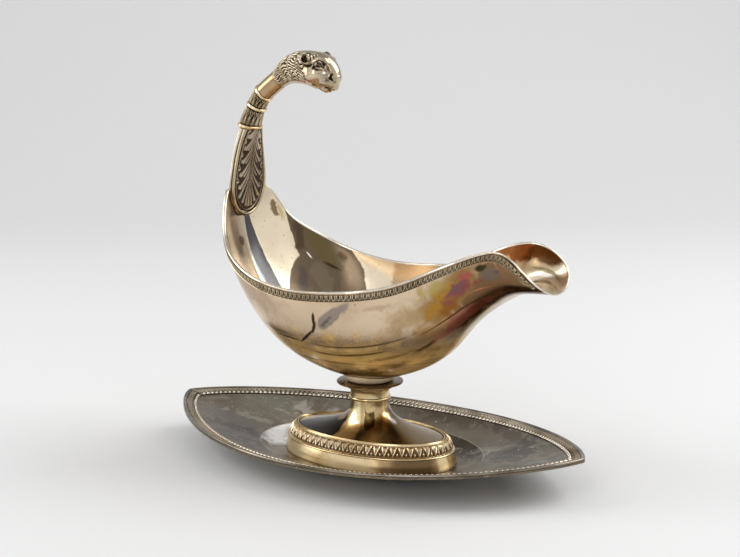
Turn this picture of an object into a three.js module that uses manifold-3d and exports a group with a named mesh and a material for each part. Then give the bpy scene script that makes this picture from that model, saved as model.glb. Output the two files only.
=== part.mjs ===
// Sauce boat with a beast-head handle, standing in the oval well of its pointed-oval tray.
// Millimetres, +Z up. +X runs to the spout, the handle is at -X, and the tray is symmetric about X and Y.
// The origin is on the table, under the middle of the tray.
import * as THREE from 'three';
import { mergeVertices } from 'three/addons/utils/BufferGeometryUtils.js';
import Module from 'manifold-3d';

const wasm = await Module();
wasm.setup();

// Clearance kept between pieces that lie along each other on curved faces
const GAP = 0.3;

// Tray
const TRAY_LENGTH = 280;
const TRAY_WIDTH = 156.6;
const TRAY_SIDE_HEIGHT = 19; // top of the border in the middle of a long side
const TRAY_TIP_RISE = 6.6; // how much higher the border stands at a tip
const TRAY_SHEET = 1.2;
// The plan is y = half width * (1 - |x / half length| ^ PLAN_POWER) ^ PLAN_BLUNTNESS
const PLAN_POWER = 2.08;
const PLAN_BLUNTNESS = 0.763;
const TIP_MITRE = 1.2; // a line set in by 1 mm at the sides is set in by this much at the tips
const BORDER_WIDTH = 8.8;
const BORDER_FALL = 1.8; // the border leans inwards by this much
const EDGE_WIRE_WIDTH = 2.2;
const EDGE_WIRE_HEIGHT = 1.3;
const LEAF_BAND_WIDTH = 3.8;
const LEAF_BAND_HEIGHT = 0.7;
const BEAD_ROW_WIDTH = 1.9;
const BEAD_ROW_HEIGHT = 1.0;

// Oval well of the tray and the ring that the tray stands on
const WELL_LENGTH = 144.6;
const WELL_WIDTH = 103.2;
const WELL_DEPTH = 5.2; // from the well's edge to its floor
const WELL_COVE = 1.8; // power of the cove between floor and edge
const WELL_FLOOR_MARGIN = 2; // flat floor outside the boat's foot
const FOOT_RING_HEIGHT = 3.5;
const FOOT_RING_INSET = 4; // from the foot of the boat to the outside of the ring
const FOOT_RING_WIDTH = 2.5;

// Oval foot of the boat
const PLINTH_LENGTH = 113;
const PLINTH_WIDTH = 71;
const PLINTH_HEIGHT = 8;
const PLINTH_WALL = 1.6;
const PLINTH_LEAN = 1.9; // the wall draws in by this much towards its top
const FILLET_HEIGHT = 1.2;
const FILLET_PROUD = 0.9;
const FOOT_LEAF_HEIGHT = 5.9;
const FOOT_LEAF_COUNT = 52;
const FOOT_LEAF_RELIEF = 0.35;
const FOOT_LEAF_RUN = 3.3; // how far the convex band draws in along the length
const FOOT_LEAF_SIDE_RUN = 4.5; // and across the width
const STEP_WIRE_WIDTH = 1.2;
const STEP_WIRE_HEIGHT = 1.1;
const STEP_WIRE_SPACE = 0.2;

// Stem, all turned about the Z axis
const DOME_SHEET = 1.4;
const DOME_FLANGE = 0.5;
const DOME_SWEEP = 0.3; // power of the trumpet curve: smaller is a tighter flare
const PEDESTAL_HEIGHT = 19.7; // from the leaf band's top to the stem collar
const STEM_RADIUS = 11.7;
const ASTRAGAL_HEIGHT = 2;
const ASTRAGAL_PROUD = 0.8;
const COLLAR_HEIGHT = 5.2;
const MILLED_RADIUS = 14.2;
const MILLED_HEIGHT = 2.6;
const MILLED_TEETH = 36;
const MILLED_RELIEF = 0.4;
const DISC_RADIUS = 19.9;
const DISC_HEIGHT = 1.2;
const DISC_EDGE = 0.6;
const NECK_RADIUS = 15.7; // under the bowl
const NECK_FOOT_RADIUS = 11.4; // on the disc
const NECK_ROUND = 5; // height of the quarter round between the two
const NECK_HEIGHT = 1.4; // from the disc to the lowest point of the bowl
const NECK_BLANK = 9; // height of the neck ring before the bowl's hollow is cut into it

// Bowl
const BOWL_LENGTH = 217.7;
const BOWL_BEAM = 114.6;
const BOWL_HEIGHT = 110.8;
const BOWL_WALL = 1.2;
const FULLNESS_AT_BACK = 1.6;
const FULLNESS_AT_SPOUT = 2.4;
// Table of offsets. Each row is a rib: where it meets the edge (along the length from the stem's axis,
// across the half beam, up the height) and where it meets the keel (along, up), as shares of the bowl sizes.
const RIBS = [
  [-0.439, 0.0, 1.0, -0.439, 1.0],
  [-0.416, 0.336, 0.965, -0.417, 0.641],
  [-0.383, 0.554, 0.803, -0.339, 0.354],
  [-0.318, 0.792, 0.68, -0.258, 0.161],
  [-0.229, 0.938, 0.592, -0.184, 0.066],
  [-0.123, 1.001, 0.544, -0.102, 0.02],
  [-0.015, 1.0, 0.537, -0.012, 0.0],
  [0.091, 0.951, 0.554, 0.08, 0.026],
  [0.183, 0.746, 0.583, 0.172, 0.092],
  [0.264, 0.505, 0.653, 0.253, 0.2],
  [0.355, 0.37, 0.734, 0.314, 0.338],
  [0.454, 0.391, 0.77, 0.385, 0.462],
  [0.533, 0.407, 0.66, 0.474, 0.557],
  [0.561, 0.0, 0.569, 0.561, 0.569],
];

// Mouldings of the bowl's edge
const RIM_WIRE_WIDTH = 2.6;
const RIM_WIRE_HEIGHT = 1.5;
const RIM_BAND_DROP = 0.4; // from the bowl's bare edge down to the band
const RIM_BAND_HEIGHT = 4.2;
const RIM_BAND_THICKNESS = 0.8;
const RIM_BAND_END = 0.94; // how far round towards the tip of the spout the band runs

// Handle. Its spine is a curve in the plane y = 0 from the strap's tip inside the bowl, up through the
// collars and over to the muzzle. Each row is a station: forward and up from the top of the bowl's back.
const SPINE = [
  [3.2, -20.2],
  [5.5, 2.3],
  [6.4, 18.3],
  [8.7, 35.6],
  [13.7, 47.3],
  [19.3, 55.3],
  [31.3, 64.3],
  [39.8, 69.5],
  [48.3, 71.3],
  [56.3, 70.5],
  [62.3, 68.9],
  [68.3, 66.7],
  [72.8, 64.3],
];
const LOWER_COLLAR = 3; // stations of the collars and of the head's start
const MIDDLE_COLLAR = 4;
const UPPER_COLLAR = 5;
const HEAD_START = 6;
const STRAP_HALF_WIDTH = 17;
const STRAP_TOP_HALF_WIDTH = 9;
const STRAP_EDGE = 2;
const STRAP_BULGE = 4.6; // crown of the strap's front and back at its top
const STRAP_TIP_BULGE = 0.4;
const STRAP_TIP_LENGTH = 20; // length of the rounded end
const STRAP_TAPER = 1.5; // power of the narrowing above the rounded end
const PANEL_MARGIN = 2.9;
const PANEL_THICKNESS = 0.9;
const BORDER_WIRE_MARGIN = 0.5;
const BORDER_WIRE_WIDTH = 1.9;
const BORDER_WIRE_HEIGHT = 1.1;
const COLLAR_LENGTH = 2;
const COLLAR_PROUD = 0.6;
const SLEEVE_RADIUS = 5.9;
const LOWER_SLEEVE_HALF_WIDTH = 8.2; // the lower sleeve narrows from this to its radius
const SLEEVE_LEAVES = 14;
const SLEEVE_RELIEF = 0.35;

// Beast's head: half height and half width at each station of the spine from the head's start
const HEAD_SECTIONS = [
  [5.9, 5.9],
  [8.4, 7.9],
  [9.8, 9.8],
  [10.6, 10.6],
  [10.9, 10],
  [8.8, 7.6],
  [4.6, 4.8],
];
// Rounded forms that are part of the casting: forward, out and up from the head's start, then their three
// radii and a tilt in degrees about the Y axis. Those with an outward place stand on both sides.
const HEAD_FORMS = {
  ear: [24.6, 9.0, 12.2, 3.9, 1.9, 4.3, 20],
  brow: [33.2, 5.6, 11.2, 3.6, 3.2, 2.2, 35],
  cheek: [28.5, 6.6, 1.5, 6.2, 4.6, 5.6, 0],
  muzzle: [39.2, 3.4, -0.6, 4.2, 3.8, 4.4, 20],
  bridge: [38.6, 0, 7.0, 2.6, 2.9, 6.2, -28],
  chin: [37.0, 0, -4.6, 4.2, 3.4, 3.0, 0],
};

// How finely curves are cut into flat faces
const TRAY_SIDES = 52;
const FOOT_SIDES = 32;
const STEM_SIDES = 24;
const BOWL_RIBS = 36;
const RIB_STEPS = 8;
const STRAP_STEPS = 14;
const STRAP_COLUMNS = 6;
const HEAD_STEPS = 10;

const GILT = { color: 0xc2a063, roughness: 0.28, metalness: 1 };
const SILVER = { color: 0xbdb3a2, roughness: 0.22, metalness: 1 };
const DARK_SILVER = { color: 0x6f675c, roughness: 0.38, metalness: 1 };

const object = new THREE.Group();

// Adds one named sub-part.
function addPart(name, geometry, finish) {
  const mesh = new THREE.Mesh(geometry, new THREE.MeshStandardMaterial(finish));
  mesh.name = name;
  object.add(mesh);
}

// A smooth curve through rows of numbers: natural cubic splines with the rows evenly spaced from 0 to 1.
class SmoothTrack {
  constructor(rows) {
    this.rows = rows;
    this.last = rows.length - 1;
    this.bends = rows[0].map((_, column) => this.solveBends(column));
  }

  // Second derivatives at the rows, by elimination of the tridiagonal system.
  solveBends(column) {
    const value = (i) => this.rows[i][column];
    const factor = [0];
    const right = [0];
    for (let i = 1; i < this.last; i++) {
      const pivot = 4 - factor[i - 1];
      factor[i] = 1 / pivot;
      right[i] = (6 * (value(i + 1) - 2 * value(i) + value(i - 1)) - right[i - 1]) / pivot;
    }
    const bends = new Array(this.last + 1).fill(0);
    for (let i = this.last - 1; i > 0; i--) {
      bends[i] = right[i] - factor[i] * bends[i + 1];
    }
    return bends;
  }

  at(share) {
    const place = share * this.last;
    const i = Math.min(Math.max(Math.floor(place), 0), this.last - 1);
    const b = place - i;
    const a = 1 - b;
    return this.bends.map((bend, column) => {
      const straight = a * this.rows[i][column] + b * this.rows[i + 1][column];
      return straight + ((a ** 3 - a) * bend[i] + (b ** 3 - b) * bend[i + 1]) / 6;
    });
  }
}

// A closed body from rings of points, each joined to the next. An open run is capped at both ends, and a
// closed run joins its last ring to its first.
function loft(rings, closed = false) {
  const count = rings[0].length;
  const positions = rings.flatMap((ring) => ring.flatMap((p) => [p.x, p.y, p.z]));
  const index = [];
  const spans = closed ? rings.length : rings.length - 1;
  for (let i = 0; i < spans; i++) {
    const here = i * count;
    const next = ((i + 1) % rings.length) * count;
    for (let j = 0; j < count; j++) {
      const k = (j + 1) % count;
      index.push(here + j, here + k, next + k, here + j, next + k, next + j);
    }
  }
  const ends = closed ? [] : [[rings[0], 0, false], [rings.at(-1), (rings.length - 1) * count, true]];
  for (const [ring, first, forward] of ends.filter(([ring]) => hasArea(ring))) {
    capRing(ring, first, positions, index, forward);
  }
  const geometry = new THREE.BufferGeometry();
  geometry.setAttribute('position', new THREE.Float32BufferAttribute(positions, 3));
  geometry.setIndex(index);
  return facingOut(geometry);
}

// A ring that has shrunk to a line or a point needs no cap.
function hasArea(ring) {
  return new Set(ring.map((p) => p.toArray().map((value) => value.toFixed(3)).join())).size > 2;
}

function capRing(ring, first, positions, index, forward) {
  const middle = ring.reduce((sum, p) => sum.add(p), new THREE.Vector3()).divideScalar(ring.length);
  const hub = positions.length / 3;
  positions.push(middle.x, middle.y, middle.z);
  for (let j = 0; j < ring.length; j++) {
    const k = (j + 1) % ring.length;
    if (forward) {
      index.push(hub, first + j, first + k);
    } else {
      index.push(hub, first + k, first + j);
    }
  }
}

// Merges equal vertices, drops triangles without area and turns the faces outwards.
function facingOut(geometry) {
  const merged = mergeVertices(geometry, 1e-4);
  const place = merged.attributes.position;
  const kept = [];
  let volume = 0;
  const [a, b, c] = [new THREE.Vector3(), new THREE.Vector3(), new THREE.Vector3()];
  for (let i = 0; i < merged.index.count; i += 3) {
    const corners = [0, 1, 2].map((k) => merged.index.getX(i + k));
    if (new Set(corners).size === 3) {
      a.fromBufferAttribute(place, corners[0]);
      b.fromBufferAttribute(place, corners[1]);
      c.fromBufferAttribute(place, corners[2]);
      volume += a.dot(b.cross(c));
      kept.push(corners);
    }
  }
  merged.setIndex(kept.flatMap(([i, j, k]) => (volume < 0 ? [i, k, j] : [i, j, k])));
  return merged;
}

// A body turned about the Z axis from a profile of [radius, height] that starts and ends on the axis.
function turned(profile, sides = STEM_SIDES) {
  const lathe = new THREE.LatheGeometry(profile.map(([r, z]) => new THREE.Vector2(r, z)), sides);
  lathe.rotateX(Math.PI / 2);
  lathe.deleteAttribute('normal');
  lathe.deleteAttribute('uv');
  return facingOut(lathe);
}

function toSolid(geometry) {
  return new wasm.Manifold(new wasm.Mesh({
    numProp: 3,
    vertProperties: geometry.attributes.position.array,
    triVerts: new Uint32Array(geometry.index.array),
  }));
}

function toGeometry(solid) {
  const mesh = solid.getMesh();
  const geometry = new THREE.BufferGeometry();
  geometry.setAttribute('position', new THREE.BufferAttribute(new Float32Array(mesh.vertProperties), 3));
  geometry.setIndex([...mesh.triVerts]);
  return geometry;
}

const mix = THREE.MathUtils.lerp;

// Even steps from one number to another, both included.
function steps(count, from = 0, to = 1) {
  return Array.from({ length: count + 1 }, (_, i) => mix(from, to, i / count));
}

// Angles of a closed loop.
function turns(count) {
  return steps(count, 0, 2 * Math.PI).slice(0, count);
}

// Tray

const wellFloorLevel = FOOT_RING_HEIGHT + TRAY_SHEET;
const wellEdgeLevel = wellFloorLevel + WELL_DEPTH;

function borderTop(angle) {
  return TRAY_SIDE_HEIGHT + TRAY_TIP_RISE * Math.cos(angle) ** 2;
}

// A point of the pointed-oval plan, set in from the edge, at a height.
function planPoint(angle, inset, z) {
  const across = TRAY_WIDTH / 2 - inset;
  const along = TRAY_LENGTH / 2 - inset * TIP_MITRE;
  const bow = (1 - Math.abs(Math.cos(angle)) ** PLAN_POWER) ** PLAN_BLUNTNESS;
  return new THREE.Vector3(along * Math.cos(angle), Math.sign(Math.sin(angle)) * across * bow, z);
}

function ovalPoint(angle, halfLength, halfWidth, z) {
  return new THREE.Vector3(halfLength * Math.cos(angle), halfWidth * Math.sin(angle), z);
}

// Height of the border's sloping flange, which carries the wire, the leaf band and the bead row.
function flangeLevel(angle, inset) {
  return borderTop(angle) - EDGE_WIRE_HEIGHT - GAP - BORDER_FALL * (inset / BORDER_WIDTH);
}

function trayRings(drop) {
  const angles = turns(TRAY_SIDES);
  const floor = [PLINTH_LENGTH / 2 + WELL_FLOOR_MARGIN, PLINTH_WIDTH / 2 + WELL_FLOOR_MARGIN];
  const edge = [WELL_LENGTH / 2, WELL_WIDTH / 2];
  const wellWall = [0, 0.5, 1].map((share) => angles.map((angle) => ovalPoint(
    angle,
    mix(floor[0], edge[0], share),
    mix(floor[1], edge[1], share),
    mix(wellFloorLevel, wellEdgeLevel, share ** WELL_COVE) - drop,
  )));
  const plain = [0.33, 0.67].map((share) => angles.map((angle) => {
    const inner = ovalPoint(angle, edge[0], edge[1], wellEdgeLevel);
    const outer = planPoint(angle, BORDER_WIDTH, flangeLevel(angle, BORDER_WIDTH));
    const point = inner.lerp(outer, share);
    point.z -= drop;
    return point;
  }));
  const flange = [BORDER_WIDTH, 0].map((inset) => angles.map(
    (angle) => planPoint(angle, inset, flangeLevel(angle, inset) - drop),
  ));
  return [...wellWall, ...plain, ...flange];
}

addPart('tray_dish', loft([...trayRings(0), ...trayRings(TRAY_SHEET).reverse()]), DARK_SILVER);

// One half of a moulding that lies on the flange, between two insets, mitred at the tips.
// The section is a list of [share across, share up].
function borderStrip(side, inset, width, height, section) {
  const end = Math.acos((1 - (GAP / TRAY_WIDTH) ** (1 / PLAN_BLUNTNESS)) ** (1 / PLAN_POWER));
  const rings = steps(TRAY_SIDES / 2, side * end, side * (Math.PI - end)).map((angle) => section.map(
    ([across, up]) => {
      const place = inset + width * across;
      return planPoint(angle, place, flangeLevel(angle, place) + GAP + height * up);
    },
  ));
  return loft(rings);
}

const HALF_ROUND = [[0, 0], [0.1, 0.7], [0.5, 1], [0.9, 0.7], [1, 0]];
const FLAT_STRIP = [[0, 0], [0, 1], [1, 1], [1, 0]];
const leafBandInset = EDGE_WIRE_WIDTH + GAP;
const beadRowInset = leafBandInset + LEAF_BAND_WIDTH + GAP;
for (const [half, side] of [['front', -1], ['back', 1]]) {
  const wire = borderStrip(side, 0, EDGE_WIRE_WIDTH, EDGE_WIRE_HEIGHT, HALF_ROUND);
  addPart(`tray_edge_wire_${half}`, wire, DARK_SILVER);
  const leaves = borderStrip(side, leafBandInset, LEAF_BAND_WIDTH, LEAF_BAND_HEIGHT, FLAT_STRIP);
  addPart(`tray_leaf_band_${half}`, leaves, DARK_SILVER);
  const beads = borderStrip(side, beadRowInset, BEAD_ROW_WIDTH, BEAD_ROW_HEIGHT, HALF_ROUND);
  addPart(`tray_bead_row_${half}`, beads, SILVER);
}

// A ring of one section swept round an oval. The section is a list of [inset, height], where the inset can
// be a pair: along the length and across the width.
function ovalRing(halfLength, halfWidth, section, angles = turns(FOOT_SIDES), relief = () => 0) {
  return loft(angles.map((angle, i) => section.map(([inset, z], corner) => {
    const [along, across] = Array.isArray(inset) ? inset : [inset, inset];
    const out = relief(i, corner);
    return ovalPoint(angle, halfLength - along + out, halfWidth - across + out, z);
  })), true);
}

addPart('tray_foot_ring', ovalRing(
  PLINTH_LENGTH / 2 - FOOT_RING_INSET,
  PLINTH_WIDTH / 2 - FOOT_RING_INSET,
  [[0, 0], [0.6, FOOT_RING_HEIGHT], [FOOT_RING_WIDTH, FOOT_RING_HEIGHT], [FOOT_RING_WIDTH, 0]],
), DARK_SILVER);

// Foot of the boat, built up from the well's floor

const footHalfLength = PLINTH_LENGTH / 2;
const footHalfWidth = PLINTH_WIDTH / 2;
const plinthTop = wellFloorLevel + PLINTH_HEIGHT;
const filletTop = plinthTop + FILLET_HEIGHT;
const leafTop = filletTop + FOOT_LEAF_HEIGHT;
const wallInset = PLINTH_LEAN + PLINTH_WALL;

addPart('foot_plinth', ovalRing(footHalfLength, footHalfWidth, [
  [0, wellFloorLevel],
  [PLINTH_LEAN, plinthTop],
  [wallInset, plinthTop],
  [PLINTH_WALL, wellFloorLevel],
]), GILT);

addPart('foot_fillet', ovalRing(footHalfLength, footHalfWidth, [
  [PLINTH_LEAN, plinthTop],
  [PLINTH_LEAN - FILLET_PROUD, plinthTop + FILLET_HEIGHT / 2],
  [PLINTH_LEAN, filletTop],
  [wallInset, filletTop],
  [wallInset, plinthTop],
]), GILT);

// The convex band: a quarter oval section whose leaves stand proud at every other cut.
const bandTopInset = [PLINTH_LEAN + FOOT_LEAF_RUN, PLINTH_LEAN + FOOT_LEAF_SIDE_RUN];
const bandInnerInset = bandTopInset.map((inset) => inset + 2 * STEP_WIRE_WIDTH + STEP_WIRE_SPACE + 2.6);
const bandProfile = steps(3, 0, Math.PI / 2).map((turn) => [
  [0, 1].map((axis) => mix(bandTopInset[axis], PLINTH_LEAN + 0.3, Math.cos(turn))),
  mix(filletTop, leafTop, Math.sin(turn)),
]);
addPart('foot_leaf_band', ovalRing(
  footHalfLength,
  footHalfWidth,
  [...bandProfile, [bandInnerInset, leafTop], [bandInnerInset.map((inset) => inset - 1.2), filletTop]],
  turns(2 * FOOT_LEAF_COUNT),
  (i, corner) => (i % 2 === 0 && (corner === 1 || corner === 2) ? FOOT_LEAF_RELIEF : 0),
), GILT);

// Two fine wires lie on the band's flat top, outside the dome's flange.
function stepWire(order) {
  const near = order * (STEP_WIRE_WIDTH + STEP_WIRE_SPACE) + 0.2;
  const outer = bandTopInset.map((inset) => inset + near);
  const middle = outer.map((inset) => inset + STEP_WIRE_WIDTH / 2);
  const inner = outer.map((inset) => inset + STEP_WIRE_WIDTH);
  const top = leafTop + STEP_WIRE_HEIGHT;
  return ovalRing(footHalfLength, footHalfWidth, [
    [outer, leafTop],
    [outer, mix(leafTop, top, 0.6)],
    [middle, top],
    [inner, leafTop],
  ]);
}
addPart('foot_step_wire_outer', stepWire(0), GILT);
addPart('foot_step_wire_inner', stepWire(1), GILT);

// The pedestal is one shell, open below: an oval dome that sweeps up into the round stem.
const domeInset = bandTopInset.map((inset) => inset + 2 * (STEP_WIRE_WIDTH + STEP_WIRE_SPACE) + 0.4);
const domeHalfLength = footHalfLength - domeInset[0];
const domeHalfWidth = footHalfWidth - domeInset[1];
const pedestalTop = leafTop + PEDESTAL_HEIGHT;

// Height over the flange at a share of the way out from the stem to the flange.
function domeHeight(share) {
  return (PEDESTAL_HEIGHT - DOME_FLANGE) * (1 - share ** DOME_SWEEP);
}

function pedestalRing(share, thickness) {
  const z = leafTop + DOME_FLANGE + domeHeight(share) - thickness;
  const radius = STEM_RADIUS - thickness * (1 - share);
  const [along, across] = [domeHalfLength, domeHalfWidth].map(
    (half) => mix(radius, half, share) - thickness * share ** 2,
  );
  return turns(FOOT_SIDES).map((angle) => ovalPoint(angle, along, across, Math.max(z, leafTop)));
}

const flare = [0, 0.012, 0.04, 0.1, 0.2, 0.36, 0.6, 1];
const innerFlare = [0, 0.03, 0.12, 0.36, 1];
addPart('pedestal', loft([
  ...innerFlare.map((share) => pedestalRing(share, DOME_SHEET)),
  turns(FOOT_SIDES).map((angle) => ovalPoint(angle, domeHalfLength, domeHalfWidth, leafTop)),
  ...flare.map((share) => pedestalRing(share, 0)).reverse(),
]), GILT);

// Stem pieces between the pedestal and the bowl

const astragalTop = pedestalTop + ASTRAGAL_HEIGHT;
const collarTop = astragalTop + COLLAR_HEIGHT;
const milledTop = collarTop + MILLED_HEIGHT;
const discTop = milledTop + DISC_HEIGHT;
const bowlFloor = discTop + NECK_HEIGHT;

addPart('stem_collar', turned([
  [0, pedestalTop],
  [STEM_RADIUS, pedestalTop],
  [STEM_RADIUS + ASTRAGAL_PROUD, pedestalTop + 0.3 * ASTRAGAL_HEIGHT],
  [STEM_RADIUS + ASTRAGAL_PROUD, pedestalTop + 0.7 * ASTRAGAL_HEIGHT],
  [STEM_RADIUS, astragalTop],
  [STEM_RADIUS, collarTop - 1],
  [STEM_RADIUS + 0.6, collarTop],
  [0, collarTop],
]), GILT);

const milledRing = (z, relief) => turns(2 * MILLED_TEETH).map((angle, i) => {
  const radius = MILLED_RADIUS - (i % 2 === 0 ? 0 : relief);
  return ovalPoint(angle, radius, radius, z);
});
addPart('milled_ring', loft([
  milledRing(collarTop, MILLED_RELIEF),
  milledRing(milledTop, MILLED_RELIEF),
]), GILT);

addPart('drip_disc', turned([
  [0, milledTop],
  [DISC_RADIUS - 1.2, milledTop],
  [DISC_RADIUS, milledTop + (DISC_HEIGHT - DISC_EDGE) / 2],
  [DISC_RADIUS, discTop - (DISC_HEIGHT - DISC_EDGE) / 2],
  [DISC_RADIUS - 1.2, discTop],
  [0, discTop],
], 36), GILT);

// Bowl: ribs run from the keel to the edge as quarter ovals of growing fullness.

// The edge goes on as its own mirror image past both ends, so it crosses the middle plane square.
const mirrorRib = ([x, y, z]) => [x, -y, z];
const edgeRows = RIBS.map(([x, y, z]) => [
  x * BOWL_LENGTH,
  (y * BOWL_BEAM) / 2,
  bowlFloor + z * BOWL_HEIGHT,
]);
const edgeTrack = new SmoothTrack([
  ...edgeRows.slice(1).reverse().map(mirrorRib),
  ...edgeRows,
  ...edgeRows.slice(0, -1).reverse().map(mirrorRib),
]);
const keelTrack = new SmoothTrack(RIBS.map(([, , , x, z]) => [
  x * BOWL_LENGTH,
  bowlFloor + z * BOWL_HEIGHT,
]));

function edgePoint(place) {
  return new THREE.Vector3(...edgeTrack.at((1 + place) / 3));
}

function keelPoint(place) {
  const [x, z] = keelTrack.at(place);
  return new THREE.Vector3(x, 0, z);
}

// Directions at the bowl's edge: along it, out of the wall, and away from the bowl within the wall.
function edgeFrame(place) {
  const here = THREE.MathUtils.clamp(place, 0.004, 0.996);
  const step = 0.002;
  const along = edgePoint(here + step).sub(edgePoint(here - step)).normalize();
  if (place <= 0 || place >= 1) {
    along.set(0, place <= 0 ? 1 : -1, 0);
  }
  const rib = edgePoint(here).sub(keelPoint(here)).setY(0);
  const away = rib.addScaledVector(along, -rib.dot(along)).normalize();
  const out = new THREE.Vector3().crossVectors(along, away).normalize().negate();
  return { along, out, away };
}

// Direction out of the wall at the keel. At both ends keel and edge are one point and share one direction.
function keelNormal(place) {
  if (place <= 0 || place >= 1) {
    return edgeFrame(place).out;
  }
  const here = THREE.MathUtils.clamp(place, 0.004, 0.996);
  const along = keelPoint(here + 0.004).sub(keelPoint(here - 0.004)).normalize();
  return new THREE.Vector3(along.z, 0, -along.x);
}

// A point of the bowl. The share runs from -1 at the near edge over the keel to 1 at the far edge, and the
// depth is measured in from the outer face.
function bowlPoint(place, share, depth) {
  const edge = edgePoint(place).addScaledVector(edgeFrame(place).out, -depth);
  const keel = keelPoint(place).addScaledVector(keelNormal(place), -depth);
  const power = 2 / mix(FULLNESS_AT_BACK, FULLNESS_AT_SPOUT, place ** 2);
  const turn = (Math.abs(share) * Math.PI) / 2;
  const across = Math.sin(turn) ** power;
  const up = 1 - Math.max(Math.cos(turn), 0) ** power;
  return new THREE.Vector3(
    mix(keel.x, edge.x, up),
    Math.sign(share) * Math.max(edge.y, 0) * across,
    mix(keel.z, edge.z, up),
  );
}

// A wall between two depths. Its ends are single lines, so they need no cap.
function bowlWall(outerDepth, innerDepth) {
  const shares = steps(2 * RIB_STEPS, -1, 1);
  return loft(steps(BOWL_RIBS).map((place) => [
    ...shares.map((share) => bowlPoint(place, share, outerDepth)),
    ...shares.map((share) => bowlPoint(place, share, innerDepth)).reverse(),
  ]));
}

addPart('bowl', bowlWall(0, BOWL_WALL), SILVER);

// The neck ring is a quarter round, hollowed on top to the underside of the bowl.
const neckBlank = turned([
  [0, discTop],
  ...steps(4, 0, Math.PI / 2).map((turn) => [
    mix(NECK_FOOT_RADIUS, NECK_RADIUS, Math.sin(turn)),
    discTop + NECK_ROUND * (1 - Math.cos(turn)),
  ]),
  [NECK_RADIUS, discTop + NECK_BLANK],
  [0, discTop + NECK_BLANK],
]);
const bowlAndInside = toSolid(bowlWall(-GAP, NECK_BLANK));
addPart('neck_ring', toGeometry(toSolid(neckBlank).subtract(bowlAndInside)), GILT);

// Places along the bowl's length between two limits, at its own ribs, so that what lies on it has its facets.
function ribPlaces(from, to) {
  const apart = 0.2 / BOWL_RIBS;
  return [from, ...steps(BOWL_RIBS).filter((place) => place > from + apart && place < to - apart), to];
}

// The bright wire lies on the bowl's bare edge, from one side of the strap round the spout to the other.
const wireStartReach = STRAP_HALF_WIDTH + GAP + RIM_WIRE_WIDTH / 2;
const wireStart = steps(400).find((place) => edgePoint(place).y > wireStartReach);

function acrossEdge(place, out, away) {
  const frame = edgeFrame(place);
  return edgePoint(place).addScaledVector(frame.out, out).addScaledVector(frame.away, away);
}

const mirrored = (ring) => ring.map((p) => new THREE.Vector3(p.x, -p.y, p.z));

const wireHalf = ribPlaces(wireStart, 1).map((place) => [
  [-0.5, 0],
  [-0.42, 0.65],
  [0, 1],
  [0.42, 0.65],
  [0.5, 0],
].map(([across, up]) => acrossEdge(
  place,
  RIM_WIRE_WIDTH * across - (BOWL_WALL - RIM_BAND_THICKNESS) / 2,
  GAP + RIM_WIRE_HEIGHT * up,
)));
addPart('rim_wire', loft([...wireHalf, ...wireHalf.slice(0, -1).reverse().map(mirrored)]), SILVER);

// A point on the outer face of the bowl, at a distance below the edge along the rib.
function belowEdge(place, drop) {
  const edge = bowlPoint(place, 1, 0);
  let [low, high] = [0, 1];
  for (let i = 0; i < 24; i++) {
    const share = (low + high) / 2;
    if (bowlPoint(place, share, 0).distanceTo(edge) > drop) {
      low = share;
    } else {
      high = share;
    }
  }
  return bowlPoint(place, low, 0);
}

// The leafed band follows the wall just under the edge and thins out along the lip of the spout.
const bandHalf = ribPlaces(wireStart, RIM_BAND_END).map((place) => {
  const { out } = edgeFrame(place);
  const height = RIM_BAND_HEIGHT * Math.min(1, 0.35 + (RIM_BAND_END - place) / 0.12);
  return [[0, 0], [1, 0], [1, 1], [0, 1]].map(([down, proud]) => {
    const face = belowEdge(place, RIM_BAND_DROP + height * down);
    return face.addScaledVector(out, GAP + RIM_BAND_THICKNESS * proud);
  });
});
addPart('rim_leaf_band_far', loft(bandHalf), DARK_SILVER);
addPart('rim_leaf_band_near', loft(bandHalf.map(mirrored)), DARK_SILVER);

// Handle

const backTop = edgePoint(0);
const spineTrack = new SmoothTrack(SPINE.map(([forward, up]) => [backTop.x + forward, backTop.z + up]));

function spinePoint(station) {
  const [x, z] = spineTrack.at(station / (SPINE.length - 1));
  return new THREE.Vector3(x, 0, z);
}

// Direction along the spine at a station, and the direction to its front.
function spineFrame(station) {
  const along = spinePoint(station + 0.01).sub(spinePoint(station - 0.01));
  const speed = along.length() / 0.02;
  along.normalize();
  return { along, front: new THREE.Vector3(along.z, 0, -along.x), speed };
}

// The station that lies a number of millimetres further along the spine.
function beyond(station, distance) {
  return station + distance / spineFrame(station).speed;
}

function inSection(station, front, side) {
  return spinePoint(station).addScaledVector(spineFrame(station).front, front).setY(side);
}

// Strap

const strapEnd = beyond(LOWER_COLLAR, -COLLAR_LENGTH / 2 - GAP);

function riseAt(station) {
  return spinePoint(station).z - spinePoint(0).z;
}

// The station that stands as high above the strap's tip as the given rise.
function stationAtRise(rise) {
  let [low, high] = [0, LOWER_COLLAR];
  for (let i = 0; i < 24; i++) {
    const station = (low + high) / 2;
    [low, high] = riseAt(station) < rise ? [station, high] : [low, station];
  }
  return high;
}

// How far up the straight part of the strap a station lies, from 0 at the rounded end to 1 at its top.
function strapShare(station) {
  const share = (riseAt(station) - STRAP_TIP_LENGTH) / (riseAt(LOWER_COLLAR) - STRAP_TIP_LENGTH);
  return THREE.MathUtils.clamp(share, 0, 1) ** STRAP_TAPER;
}

function strapHalfWidth(station, margin) {
  const rise = riseAt(station);
  if (rise < STRAP_TIP_LENGTH) {
    const reach = (STRAP_TIP_LENGTH - rise) / (STRAP_TIP_LENGTH - margin);
    return (STRAP_HALF_WIDTH - margin) * Math.sqrt(Math.max(1 - reach ** 2, 0));
  }
  return mix(STRAP_HALF_WIDTH, STRAP_TOP_HALF_WIDTH, strapShare(station)) - margin;
}

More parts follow.
